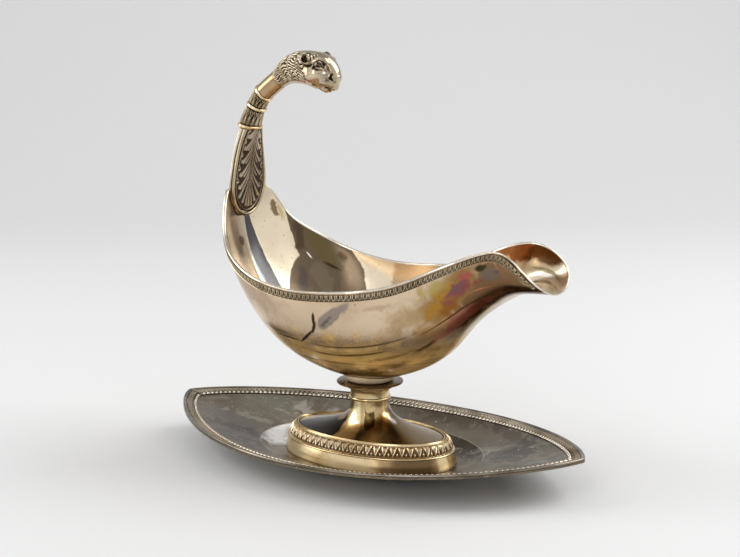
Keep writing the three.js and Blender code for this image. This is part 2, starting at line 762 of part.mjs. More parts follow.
// Distance of the strap's crowned face from the spine, at a sideways place.
function strapCrown(station, side) {
  const half = strapHalfWidth(station, 0);
  const bulge = mix(STRAP_TIP_BULGE, STRAP_BULGE, strapShare(station));
  const round = half > 0 ? 1 - Math.min(Math.abs(side) / half, 1) ** 2 : 0;
  return STRAP_EDGE / 2 + bulge * round;
}

// A plate over the strap's outline less a margin, between two heights over the spine. Its rings crowd
// together in the rounded end.
function strapPlate(margin, topMargin, back, front) {
  const first = stationAtRise(margin);
  const last = beyond(strapEnd, -topMargin);
  return loft(steps(STRAP_STEPS).map((share) => {
    const station = mix(first, last, share ** 2);
    const half = share > 0 ? strapHalfWidth(station, margin) : 0;
    const face = (height) => steps(STRAP_COLUMNS, -half, half).map(
      (side) => inSection(station, height(station, side), side),
    );
    return [...face(front), ...face(back).reverse()];
  }));
}

const strapBlank = strapPlate(0, 0, (station, side) => -strapCrown(station, side), strapCrown);
const bowlAndOutside = toSolid(bowlWall(-2 * STRAP_EDGE, BOWL_WALL + GAP));
const clearOfBowl = (blank) => toGeometry(toSolid(blank).subtract(bowlAndOutside));
addPart('handle_strap', clearOfBowl(strapBlank), SILVER);

const panelFloor = (station, side) => strapCrown(station, side) + GAP;
const panelTop = (station, side) => panelFloor(station, side) + PANEL_THICKNESS;
const panelBlank = strapPlate(PANEL_MARGIN, GAP, panelFloor, panelTop);
addPart('handle_leaf_panel', clearOfBowl(panelBlank), DARK_SILVER);

// A point over the strap's front, in from its outline: places 0 to 1 run round the tip, 1 to 2 to the collar.
function overOutline(place, inset, height) {
  const turn = (Math.min(place, 1) * Math.PI) / 2;
  const tipRise = STRAP_TIP_LENGTH - (STRAP_TIP_LENGTH - inset) * Math.cos(turn);
  const start = stationAtRise(tipRise);
  const station = mix(start, strapEnd, Math.max(place - 1, 0));
  const side = place < 1 ? (STRAP_HALF_WIDTH - inset) * Math.sin(turn) : strapHalfWidth(station, inset);
  return inSection(station, panelFloor(station, side) + height, side);
}

const borderInner = BORDER_WIRE_MARGIN + BORDER_WIRE_WIDTH;
const borderHalf = steps(STRAP_STEPS, 0, 2).map((place) => [
  [BORDER_WIRE_MARGIN, 0],
  [BORDER_WIRE_MARGIN, 0.6],
  [mix(BORDER_WIRE_MARGIN, borderInner, 0.5), 1],
  [borderInner, 0.6],
  [borderInner, 0],
].map(([inset, up]) => overOutline(place, inset, BORDER_WIRE_HEIGHT * up)));
const borderBlank = loft([...borderHalf.slice(1).reverse(), ...borderHalf.map(mirrored)]);
addPart('handle_panel_border', clearOfBowl(borderBlank), GILT);

// Collars and sleeves, threaded on the spine

// A body round the spine. Each ring is [station, half depth, half width], and the relief is added at corners.
function onSpine(rings, sides, relief = () => 0) {
  return loft(rings.map(([station, halfDepth, halfWidth], row) => turns(sides).map((angle, i) => {
    const out = relief(row, i);
    return inSection(station, (halfDepth + out) * Math.cos(angle), (halfWidth + out) * Math.sin(angle));
  })));
}

function collar(station, halfDepth, halfWidth) {
  return onSpine([[-0.5, 0], [-0.2, COLLAR_PROUD], [0.2, COLLAR_PROUD], [0.5, 0]].map(([along, proud]) => [
    beyond(station, COLLAR_LENGTH * along),
    halfDepth + proud,
    halfWidth + proud,
  ]), STEM_SIDES);
}

// A tube of standing leaves from one station to the next, tapering from one pair of half sizes to another.
function leafSleeve(from, to, fromSize, toSize) {
  const margin = COLLAR_LENGTH / 2 + GAP;
  return onSpine(steps(3).map((share) => [
    mix(beyond(from, margin), beyond(to, -margin), share),
    mix(fromSize[0], toSize[0], share),
    mix(fromSize[1], toSize[1], share),
  ]), 2 * SLEEVE_LEAVES, (row, i) => (i % 2 === 0 ? 0 : -SLEEVE_RELIEF));
}

const strapTopDepth = STRAP_EDGE / 2 + STRAP_BULGE;
const round = [SLEEVE_RADIUS, SLEEVE_RADIUS];
const lowerSize = [SLEEVE_RADIUS, LOWER_SLEEVE_HALF_WIDTH];
addPart('lower_collar', collar(LOWER_COLLAR, strapTopDepth + COLLAR_PROUD / 2, STRAP_TOP_HALF_WIDTH), GILT);
addPart('lower_leaf_sleeve', leafSleeve(LOWER_COLLAR, MIDDLE_COLLAR, lowerSize, round), SILVER);
addPart('middle_collar', collar(MIDDLE_COLLAR, SLEEVE_RADIUS, SLEEVE_RADIUS), GILT);
addPart('upper_leaf_sleeve', leafSleeve(MIDDLE_COLLAR, UPPER_COLLAR, round, round), SILVER);
addPart('upper_collar', collar(UPPER_COLLAR, SLEEVE_RADIUS, SLEEVE_RADIUS), GILT);
const neckStart = beyond(UPPER_COLLAR, COLLAR_LENGTH / 2 + GAP);
const neckEnd = beyond(HEAD_START, -GAP);
addPart('neck_sleeve', onSpine(
  steps(3).map((share) => [mix(neckStart, neckEnd, share), SLEEVE_RADIUS, SLEEVE_RADIUS]),
  STEM_SIDES,
), GILT);

// Head of the beast: a swept body with the rounded forms of the face grown onto it

const headTrack = new SmoothTrack(HEAD_SECTIONS);
const skull = onSpine(steps(HEAD_STEPS).map((share) => [
  mix(HEAD_START, SPINE.length - 1, share),
  ...headTrack.at(share),
]), STEM_SIDES);

function headForm([forward, outward, up, ...radii], side) {
  const tilt = radii.pop();
  const form = new THREE.SphereGeometry(1, 10, 7);
  form.deleteAttribute('normal');
  form.deleteAttribute('uv');
  form.scale(...radii);
  form.rotateY(THREE.MathUtils.degToRad(tilt));
  const base = spinePoint(HEAD_START);
  form.translate(base.x + forward, side * outward, base.z + up);
  return toSolid(facingOut(form));
}

const forms = Object.values(HEAD_FORMS).flatMap(
  (form) => (form[1] > 0 ? [headForm(form, -1), headForm(form, 1)] : [headForm(form, 1)]),
);
addPart('feline_head', toGeometry(forms.reduce((body, form) => body.add(form), toSolid(skull))), SILVER);

export default object;
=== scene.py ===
"""Footed sauce boat with a beast-head handle, standing in the oval well of its pointed-oval tray.

Sizes are in millimetres and become metres when a mesh is made. +Z is up, +X runs to the spout, the handle is at -X,
and the origin is on the table under the middle of the tray.
"""

import logging
import math
from dataclasses import dataclass, replace
from enum import Enum
from typing import Callable, Sequence

import bmesh
import bpy
import numpy as np
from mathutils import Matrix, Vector
from numpy.typing import NDArray


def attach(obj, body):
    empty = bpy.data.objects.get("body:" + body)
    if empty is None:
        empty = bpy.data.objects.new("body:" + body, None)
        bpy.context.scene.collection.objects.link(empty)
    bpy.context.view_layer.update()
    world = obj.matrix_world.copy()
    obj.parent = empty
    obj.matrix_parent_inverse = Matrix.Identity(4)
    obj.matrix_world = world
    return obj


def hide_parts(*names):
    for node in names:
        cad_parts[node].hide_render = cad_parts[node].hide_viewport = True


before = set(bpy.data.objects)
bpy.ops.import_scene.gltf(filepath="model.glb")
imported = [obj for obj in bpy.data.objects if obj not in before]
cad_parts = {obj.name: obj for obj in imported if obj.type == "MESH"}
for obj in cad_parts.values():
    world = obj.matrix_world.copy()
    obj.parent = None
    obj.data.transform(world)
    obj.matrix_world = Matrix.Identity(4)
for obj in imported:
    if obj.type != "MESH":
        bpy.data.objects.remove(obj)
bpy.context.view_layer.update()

Array = NDArray[np.float64]
Index = NDArray[np.int64]
Numbers = Array | float
Pair = tuple[float, float]
Triple = tuple[float, float, float]
Colour = tuple[int, int, int]  # display values from 0 to 255
Socket = bpy.types.NodeSocket
Material = bpy.types.Material

MM = 0.001
GAP = 0.3  # clearance between pieces that lie along each other
MIRROR = np.array([1, -1, 1])  # to the other side of the plane y = 0
TUBE_CUTS = 72  # round the collars and the neck
LEAF_CUTS = 12  # cuts for each leaf of the rim's and the tray's bands
log = logging.getLogger("sauce_boat")


class Body(Enum):
    """The two bodies that come apart when the boat is lifted off its stand."""

    STAND = "stand"
    BOAT = "boat"


class Slot(Enum):
    """Material slots of the record."""

    GILT = "gilt"
    SILVER = "silver"
    TARNISHED = "tarnished_silver"


# Curves and vectors


def unit(vectors: Array) -> Array:
    """Vectors scaled to length one, each component divided by the root of the sum of squares."""
    return vectors / np.maximum(np.linalg.norm(vectors, axis=-1, keepdims=True), 1e-12)


def lerp(a: Numbers, b: Numbers, share: Numbers) -> Array:
    """Straight blend a + (b - a) * share."""
    return a + (np.asarray(b) - a) * share


def ease(share: Numbers) -> Array:
    """Smooth step 6 t^5 - 15 t^4 + 10 t^3 of a share held between 0 and 1."""
    t = np.clip(share, 0, 1)
    return t**3 * (t * (6 * t - 15) + 10)


def bell(distance: Array) -> Array:
    """Smooth bump (1 - d^2)^2 that falls from 1 at distance 0 to 0 at distance 1."""
    return np.maximum(1 - np.asarray(distance) ** 2, 0) ** 2


def around(count: int) -> Array:
    """Even angles of a full turn, from 0."""
    return np.linspace(0, 2 * np.pi, count, endpoint=False)


def run_along(path: Array) -> Array:
    """Length of a path up to each of its points, as the sum of the chords."""
    return np.concatenate([[0], np.cumsum(np.linalg.norm(np.diff(path, axis=0), axis=1))])


class Track:
    """A smooth curve through rows of numbers: natural cubic splines, with the rows evenly spaced from 0 to 1."""

    def __init__(self, rows: Sequence[Sequence[float]] | Array) -> None:
        """Solves for the second derivatives at the rows, which the curve passes through."""
        self.rows = np.asarray(rows, float)
        inner = len(self.rows) - 2
        system = 4 * np.eye(inner) + np.eye(inner, k=1) + np.eye(inner, k=-1)
        second = self.rows[2:] - 2 * self.rows[1:-1] + self.rows[:-2]
        self.bends = np.zeros_like(self.rows)
        self.bends[1:-1] = np.linalg.solve(system, 6 * second)

    def at(self, share: Numbers) -> Array:
        """Points at shares from 0 to 1 of the curve. The row's columns are the last axis.

        Args:
            share: of the way along.

        Returns:
            Points, with the row's columns as the last axis.
        """
        place = np.asarray(share, float) * (len(self.rows) - 1)
        i = np.clip(np.floor(place).astype(int), 0, len(self.rows) - 2)
        b = (place - i)[..., None]
        a = 1 - b
        straight = a * self.rows[i] + b * self.rows[i + 1]
        return straight + ((a**3 - a) * self.bends[i] + (b**3 - b) * self.bends[i + 1]) / 6


# Meshes


@dataclass
class Patch:
    """A closed piece of mesh. Hollow runs from 0 on what stands proud to 1 at the bottom of the carving."""

    points: Array
    quads: Index
    triangles: Index
    uv: Array
    hollow: Array

    def facing_out(self) -> "Patch":
        """Turns the faces outwards: the sum of a . (b x c) over the triangles is six times the volume."""
        halves = [self.quads[:, [0, 1, 2]], self.quads[:, [0, 2, 3]], self.triangles]
        a, b, c = (self.points[np.concatenate(halves)[:, k]] for k in range(3))
        if np.einsum("ij,ij->i", a, np.cross(b, c)).sum() < 0:
            self.quads = self.quads[:, ::-1]
            self.triangles = self.triangles[:, ::-1]
        return self

    def mirrored(self) -> "Patch":
        """The same piece on the other side of the plane y = 0."""
        return Patch(self.points * MIRROR, self.quads[:, ::-1], self.triangles[:, ::-1], self.uv, self.hollow)


def grid_patch(grid: Array, wrap_rows: bool = False, uv: Array | None = None, hollow: Array | None = None) -> Patch:
    """A closed tube of rings, whose columns run round each ring.

    Args:
        grid: rings by points of a ring by three.
        wrap_rows: joins the last ring to the first. Otherwise a fan to the ring's middle closes each end.
        uv: of each point. By default its share of the rows and of the columns.
        hollow: of each point, by default 0.

    Returns:
        The patch, facing out.
    """
    rows, columns = grid.shape[:2]
    if uv is None:
        uv = np.stack(np.meshgrid(np.linspace(0, 1, rows), np.linspace(0, 1, columns), indexing="ij"), -1)
    if hollow is None:
        hollow = np.zeros((rows, columns))
    i = np.arange(rows if wrap_rows else rows - 1)[:, None]
    j = np.arange(columns)[None, :]
    here, below = i * columns, ((i + 1) % rows) * columns
    right = (j + 1) % columns
    quads = np.stack([here + j, here + right, below + right, below + j], -1).reshape(-1, 4)
    points, uvs, hollows = grid.reshape(-1, 3), uv.reshape(-1, 2), hollow.reshape(-1)
    triangles = np.zeros((0, 3), int)
    if not wrap_rows:
        ring, middle = np.arange(columns), np.full(columns, rows * columns)
        following, last = (ring + 1) % columns, (rows - 1) * columns
        fans = np.stack([middle, following, ring], -1), np.stack([middle + 1, last + ring, last + following], -1)
        triangles = np.concatenate(fans)
        points = np.concatenate([points, [grid[0].mean(0), grid[-1].mean(0)]])
        uvs = np.concatenate([uvs, [uv[0].mean(0), uv[-1].mean(0)]])
        hollows = np.concatenate([hollows, [hollow[0].mean(), hollow[-1].mean()]])
    return Patch(points, quads, triangles, uvs, hollows).facing_out()


def joined(patches: Sequence[Patch]) -> Patch:
    """Several patches as one, with indices moved on by the points before them.

    Args:
        patches: in order.

    Returns:
        One patch.
    """
    starts = np.cumsum([0] + [len(p.points) for p in patches[:-1]])
    return Patch(
        np.concatenate([p.points for p in patches]),
        np.concatenate([p.quads + s for p, s in zip(patches, starts)]),
        np.concatenate([p.triangles + s for p, s in zip(patches, starts)]),
        np.concatenate([p.uv for p in patches]),
        np.concatenate([p.hollow for p in patches]),
    )


def ring_normals(grid: Array, wrap_rows: bool = False) -> Array:
    """Unit normals of a tube of rings: the differences across rows crossed with those round the columns."""
    down = np.roll(grid, -1, 0) - np.roll(grid, 1, 0) if wrap_rows else np.gradient(grid, axis=0)
    round_ring = np.roll(grid, -1, 1) - np.roll(grid, 1, 1)
    return unit(np.cross(down, round_ring))


def add_piece(
    name: str, patch: Patch, finish: Material, node: str, body: Body = Body.BOAT, crease: float = 40
) -> None:
    """Makes an object of a patch, dresses it and sets it on its body.

    Args:
        name: of the piece.
        patch: its surface.
        finish: its material.
        node: the CAD node that it stands for.
        body: what it rides on.
        crease: edges that bend by more than this many degrees stay sharp.
    """
    mesh = bpy.data.meshes.new(name)
    mesh.from_pydata(patch.points * MM, [], patch.quads.tolist() + patch.triangles.tolist())
    corners = np.zeros(len(mesh.loops), int)
    mesh.loops.foreach_get("vertex_index", corners)
    layer = mesh.uv_layers.new(name="surface")
    layer.data.foreach_set("uv", patch.uv[corners].astype(np.float32).ravel())
    depth = mesh.attributes.new("hollow", "FLOAT", "POINT")
    depth.data.foreach_set("value", patch.hollow.astype(np.float32))
    welded = bmesh.new()
    welded.from_mesh(mesh)
    bmesh.ops.remove_doubles(welded, verts=welded.verts, dist=1e-7)
    bmesh.ops.dissolve_degenerate(welded, edges=welded.edges, dist=1e-8)
    welded.to_mesh(mesh)
    welded.free()
    mesh.shade_smooth()
    mesh.set_sharp_from_angle(angle=math.radians(crease))
    mesh.materials.append(finish)
    piece = bpy.data.objects.new(name, mesh)
    bpy.context.scene.collection.objects.link(piece)
    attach(piece, body.value)
    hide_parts(node)
    log.info("%s: %d faces on %s, in place of %s", name, len(mesh.polygons), body.value, node)


# Bowl


@dataclass
class Bowl:
    """The raised bowl with its bright rim wire and the leafed band under it.

    Ribs run from keel to edge as quarter superellipses between two splines. Each row of ribs is the edge's x, y, z
    and the keel's x, z as shares of length, half beam and height.
    """

    length: float = 217.7
    beam: float = 114.6
    height: float = 110.8
    floor: float = 51.9
    wall: float = 1.2
    back_fullness: float = 1.6
    spout_fullness: float = 2.4
    wire_width: float = 2.6
    wire_height: float = 1.25
    wire_start_y: float = 18.6
    band_drop: float = 0.4
    band_height: float = 4.2
    band_thickness: float = 0.8
    band_end: float = 0.94
    leaf_pitch: float = 3
    leaf_relief: float = 0.42
    rib_count: int = 240
    half_columns: int = 48
    ribs: tuple[tuple[float, ...], ...] = (
        (-0.439, 0, 1, -0.439, 1), (-0.416, 0.336, 0.965, -0.417, 0.641),
        (-0.383, 0.554, 0.803, -0.339, 0.354), (-0.318, 0.792, 0.68, -0.258, 0.161),
        (-0.229, 0.938, 0.592, -0.184, 0.066), (-0.123, 1.001, 0.544, -0.102, 0.02),
        (-0.015, 1, 0.537, -0.012, 0), (0.091, 0.951, 0.554, 0.08, 0.026),
        (0.183, 0.746, 0.583, 0.172, 0.092), (0.264, 0.505, 0.653, 0.253, 0.2),
        (0.355, 0.37, 0.734, 0.314, 0.338), (0.454, 0.391, 0.77, 0.385, 0.462),
        (0.533, 0.407, 0.66, 0.474, 0.557), (0.561, 0, 0.569, 0.561, 0.569),
    )

    def __post_init__(self) -> None:
        """Lays the edge's and the keel's splines. The edge goes on as its mirror image past both ends."""
        table = np.array(self.ribs)
        edge = table[:, :3] * [self.length, self.beam / 2, self.height] + [0, 0, self.floor]
        other = (edge * MIRROR)[::-1]
        self.edge_track = Track(np.concatenate([other[:-1], edge, other[1:]]))
        self.keel_track = Track(table[:, 3:] * [self.length, self.height] + [0, self.floor])

    def edge(self, place: Array) -> Array:
        """Points of the bare edge, from the back at place 0 along the far side to the spout's tip at 1."""
        return self.edge_track.at((1 + place) / 3)

    def keel(self, place: Array) -> Array:
        """Points of the keel in the plane y = 0."""
        x, z = np.moveaxis(self.keel_track.at(place), -1, 0)
        return np.stack([x, np.zeros_like(x), z], -1)

    def edge_frame(self, place: Array) -> tuple[Array, Array, Array]:
        """Directions along the edge, out of the wall, and away from the bowl within the wall.

        Along is the step between near points, away the rib's chord less its part along the edge, out square to both.

        Args:
            place: from 0 at the back to 1 at the spout's tip.

        Returns:
            Three unit directions.
        """
        here, step = np.clip(place, 0.004, 0.996), 0.002
        along = unit(self.edge(here + step) - self.edge(here - step))
        along = np.where((place <= 0)[..., None], [0, 1, 0], along)
        along = np.where((place >= 1)[..., None], [0, -1, 0], along)
        rib = (self.edge(here) - self.keel(here)) * [1, 0, 1]
        away = unit(rib - (rib * along).sum(-1, keepdims=True) * along)
        return along, -unit(np.cross(along, away)), away

    def keel_out(self, place: Array) -> Array:
        """Direction out of the wall at the keel, a quarter turn from the keel's own direction."""
        here = np.clip(place, 0.004, 0.996)
        along = unit(self.keel(here + 0.004) - self.keel(here - 0.004))
        normal = np.stack([along[..., 2], np.zeros_like(here), -along[..., 0]], -1)
        at_end = ((place <= 0) | (place >= 1))[..., None]
        return np.where(at_end, self.edge_frame(place)[1], normal)

    def wall_point(self, place: Array, share: Array, depth: Numbers) -> Array:
        """Points of the wall.

        A rib is |y / a|^p + |z / b|^p = 1, with y = a sin(t)^(2/p) and z = b (1 - cos(t)^(2/p)), and its power p
        grows with the square of the place.

        Args:
            place: from 0 at the back to 1 at the spout's tip.
            share: from -1 at the near edge over the keel to 1 at the far edge.
            depth: how far in from the outer face.

        Returns:
            Points, with x, y, z as the last axis.
        """
        place, share, depth = np.broadcast_arrays(place, share, depth)
        inward = depth[..., None]
        edge = self.edge(place) - self.edge_frame(place)[1] * inward
        keel = self.keel(place) - self.keel_out(place) * inward
        power = 2 / lerp(self.back_fullness, self.spout_fullness, place**2)
        turn = np.abs(share) * np.pi / 2
        across = np.sin(turn) ** power
        rise = 1 - np.maximum(np.cos(turn), 0) ** power
        x = lerp(keel[..., 0], edge[..., 0], rise)
        z = lerp(keel[..., 2], edge[..., 2], rise)
        return np.stack([x, np.sign(share) * np.maximum(edge[..., 1], 0) * across, z], -1)

    def shell(self) -> Patch:
        """The wall: outer and inner sheets of ribs. UV holds place and share, and hollow is 1 on the inside."""
        place = np.linspace(0, 1, self.rib_count)[:, None]
        share = np.linspace(-1, 1, 2 * self.half_columns + 1)[None, :]
        outer = self.wall_point(place, share, 0)
        inner = self.wall_point(place, share[:, ::-1], self.wall)
        uv = np.stack(np.broadcast_arrays(place, np.concatenate([share, share[:, ::-1]], 1)), -1)
        inside = np.concatenate([np.zeros_like(outer[..., 0]), np.ones_like(inner[..., 0])], 1)
        return grid_patch(np.concatenate([outer, inner], 1), uv=uv, hollow=inside)

    def wire_start(self) -> float:
        """The place beside the strap where the edge has reached the rim wire's first y."""
        places = np.linspace(0, 0.3, 3000)
        return float(places[np.argmax(self.edge(places)[:, 1] > self.wire_start_y)])

    def rim_wire(self) -> Patch:
        """A half-round wire on the edge, from one side of the strap to the other, thinner over the spout."""
        place = np.linspace(self.wire_start(), 1, 420)[:, None]
        turn = np.linspace(0, np.pi, 11)[None, :]
        _, out, away = self.edge_frame(place)
        middle = -(self.wall - self.band_thickness) / 2
        thin = 0.82 - 0.3 * ease((place - 0.75) / 0.12)
        across = (middle + thin * self.wire_width / 2 * np.cos(turn))[..., None]
        up = (GAP + thin * self.wire_height * np.sin(turn) ** 0.7)[..., None]
        half = self.edge(place) + out * across + away * up
        return grid_patch(np.concatenate([half, half[:-1][::-1] * MIRROR]))

    def below_edge(self, place: Array, drop: Array) -> Array:
        """Points of the outer face at a distance below the edge, found by halving the share's interval.

        Args:
            place: along the edge.
            drop: distance below it.

        Returns:
            The points.
        """
        place, drop = np.broadcast_arrays(place, drop)
        edge = self.wall_point(place, np.ones_like(place), 0)
        low, high = np.zeros_like(place), np.ones_like(place)
        for _ in range(22):
            share = (low + high) / 2
            far = np.linalg.norm(self.wall_point(place, share, 0) - edge, axis=-1) > drop
            low, high = np.where(far, share, low), np.where(far, high, share)
        return self.wall_point(place, low, 0)

    def rim_band(self) -> Patch:
        """The far side's leafed band: a strip under the edge whose face carries the leaves."""
        coarse = np.linspace(self.wire_start(), self.band_end, 400)
        run = run_along(self.edge(coarse))
        leaves = int(run[-1] / self.leaf_pitch)
        along = np.linspace(0, run[-1], leaves * LEAF_CUTS + 1)
        place = np.interp(along, run, coarse)[:, None]
        down = np.linspace(0, 1, 15)[None, :]
        height = self.band_height * np.minimum(1, 0.35 + (self.band_end - place) / 0.12)
        face = self.below_edge(place, self.band_drop + height * down)
        out = self.edge_frame(place)[1]
        phase = along[:, None] / self.leaf_pitch
        carved = LeafFrieze(border=0.1, outline=0.15, dart=0.75, point=3.5).height(phase, down)
        proud = GAP + self.band_thickness - self.leaf_relief * (1 - carved)
        front = face + out * proud[..., None]
        back = (face + out * GAP)[:, [14, 0]]
        hollow = np.concatenate([1 - carved, np.zeros_like(carved[:, :2])], 1)
        return grid_patch(np.concatenate([front, back], 1), hollow=hollow)

    def build(self, finishes: "Finishes") -> None:
        """Makes the shell, the wire and both bands."""
        add_piece("bowl_shell", self.shell(), finishes.bowl_silver, "bowl")
        add_piece("bowl_rim_wire", self.rim_wire(), finishes.rim, "rim_wire")
        band = self.rim_band()
        for side, leaves in (("far", band), ("near", band.mirrored())):
            add_piece(f"bowl_rim_leaves_{side}", leaves, finishes.frieze, f"rim_leaf_band_{side}")


@dataclass(frozen=True)
class LeafFrieze:
    """A row of pointed leaves with their tips down, each an outlined blade with a middle rib.

    Attributes:
        border: share of the band's height in each plain line, top and bottom.
        blade: half width of a blade at its widest, in pitches.
        outline: thickness of its raised outline, in pitches.
        dart: height of the dart between two blades, from 0 to 1.
        point: power of the blade's taper. Larger is rounder.
        fill: height of the blade's inside at its wide end, from 0 to 1.
    """

    border: float = 0.12
    blade: float = 0.42
    outline: float = 0.12
    dart: float = 0.7
    point: float = 1.5
    fill: float = 0.3

    def height(self, phase: Array, down: Array) -> Array:
        """Height of the carving.

        A blade is |u| < blade (1 - t^point), with u the distance from the nearest leaf's middle in pitches and t
        the share down the leaf. Outline, middle rib and dart are bells across u.

        Args:
            phase: place along the band in pitches.
            down: share of the way down the band.

        Returns:
            Heights from 0 at the ground to 1.
        """
        phase, down = np.broadcast_arrays(phase, down)
        u = np.abs(phase - np.round(phase))
        t = np.clip((down - self.border) / (1 - 2 * self.border), 0, 1)
        width = self.blade * (1 - t**self.point)
        thick = self.outline * (1.25 - 0.35 * t)
        rim = bell((u - np.maximum(width - 0.5 * thick, 0)) / thick)
        inside = self.fill * (u < width) * (1 - t)
        rib = 0.5 * bell(u / 0.08) * (t < 0.8)
        drop = np.hypot((0.5 - u) / 0.15, (t - 0.84) / 0.15)
        stalk = bell((0.5 - u) / (0.05 + 0.05 * t)) * (t > 0.25) * (t < 0.9)
        dart = self.dart * np.maximum(np.sqrt(bell(drop)), 0.75 * stalk)
        leaf = np.maximum.reduce([rim, inside, rib, dart])
        plain = np.maximum(bell(down / self.border), bell((1 - down) / self.border))
        return np.where((down < self.border) | (down > 1 - self.border), plain, leaf)


# Foot and stem


def oval(angle: Array, half_length: Numbers, half_width: Numbers, z: Numbers) -> Array:
    """Points (a cos t, b sin t, z) of an oval."""
    x, y, z = np.broadcast_arrays(half_length * np.cos(angle), half_width * np.sin(angle), z)
    return np.stack([x, y, z], -1)


def swept_oval(section: Sequence[Triple], size: Pair, count: int = 192) -> Patch:
    """A ring of one section carried round an oval.

    Args:
        section: corners as inset in length, inset in width, height.
        size: length and width of the oval.
        count: cuts round the oval.

    Returns:
        The ring.
    """
    corners = np.array(section, float)[None, :, :]
    angle = around(count)[:, None]
    grid = oval(angle, size[0] / 2 - corners[..., 0], size[1] / 2 - corners[..., 1], corners[..., 2])
    return grid_patch(grid, wrap_rows=True)


def turned(profile: Sequence[Pair], sides: int = 128) -> Patch:
    """A body turned about the Z axis: each [radius, height] of the profile becomes a ring."""
    radius, height = np.array(profile, float).T[:, :, None]
    angle = around(sides)[None, :]
    return grid_patch(oval(angle, radius, radius, height))


def arc(centre: Pair, radii: Pair, degrees: Pair, count: int) -> list:
    """Points of an oval arc in a profile: centre + radii * (cos, sin) at even angles."""
    angle = np.radians(np.linspace(degrees[0], degrees[1], count))
    return list(zip(centre[0] + radii[0] * np.cos(angle), centre[1] + radii[1] * np.sin(angle)))


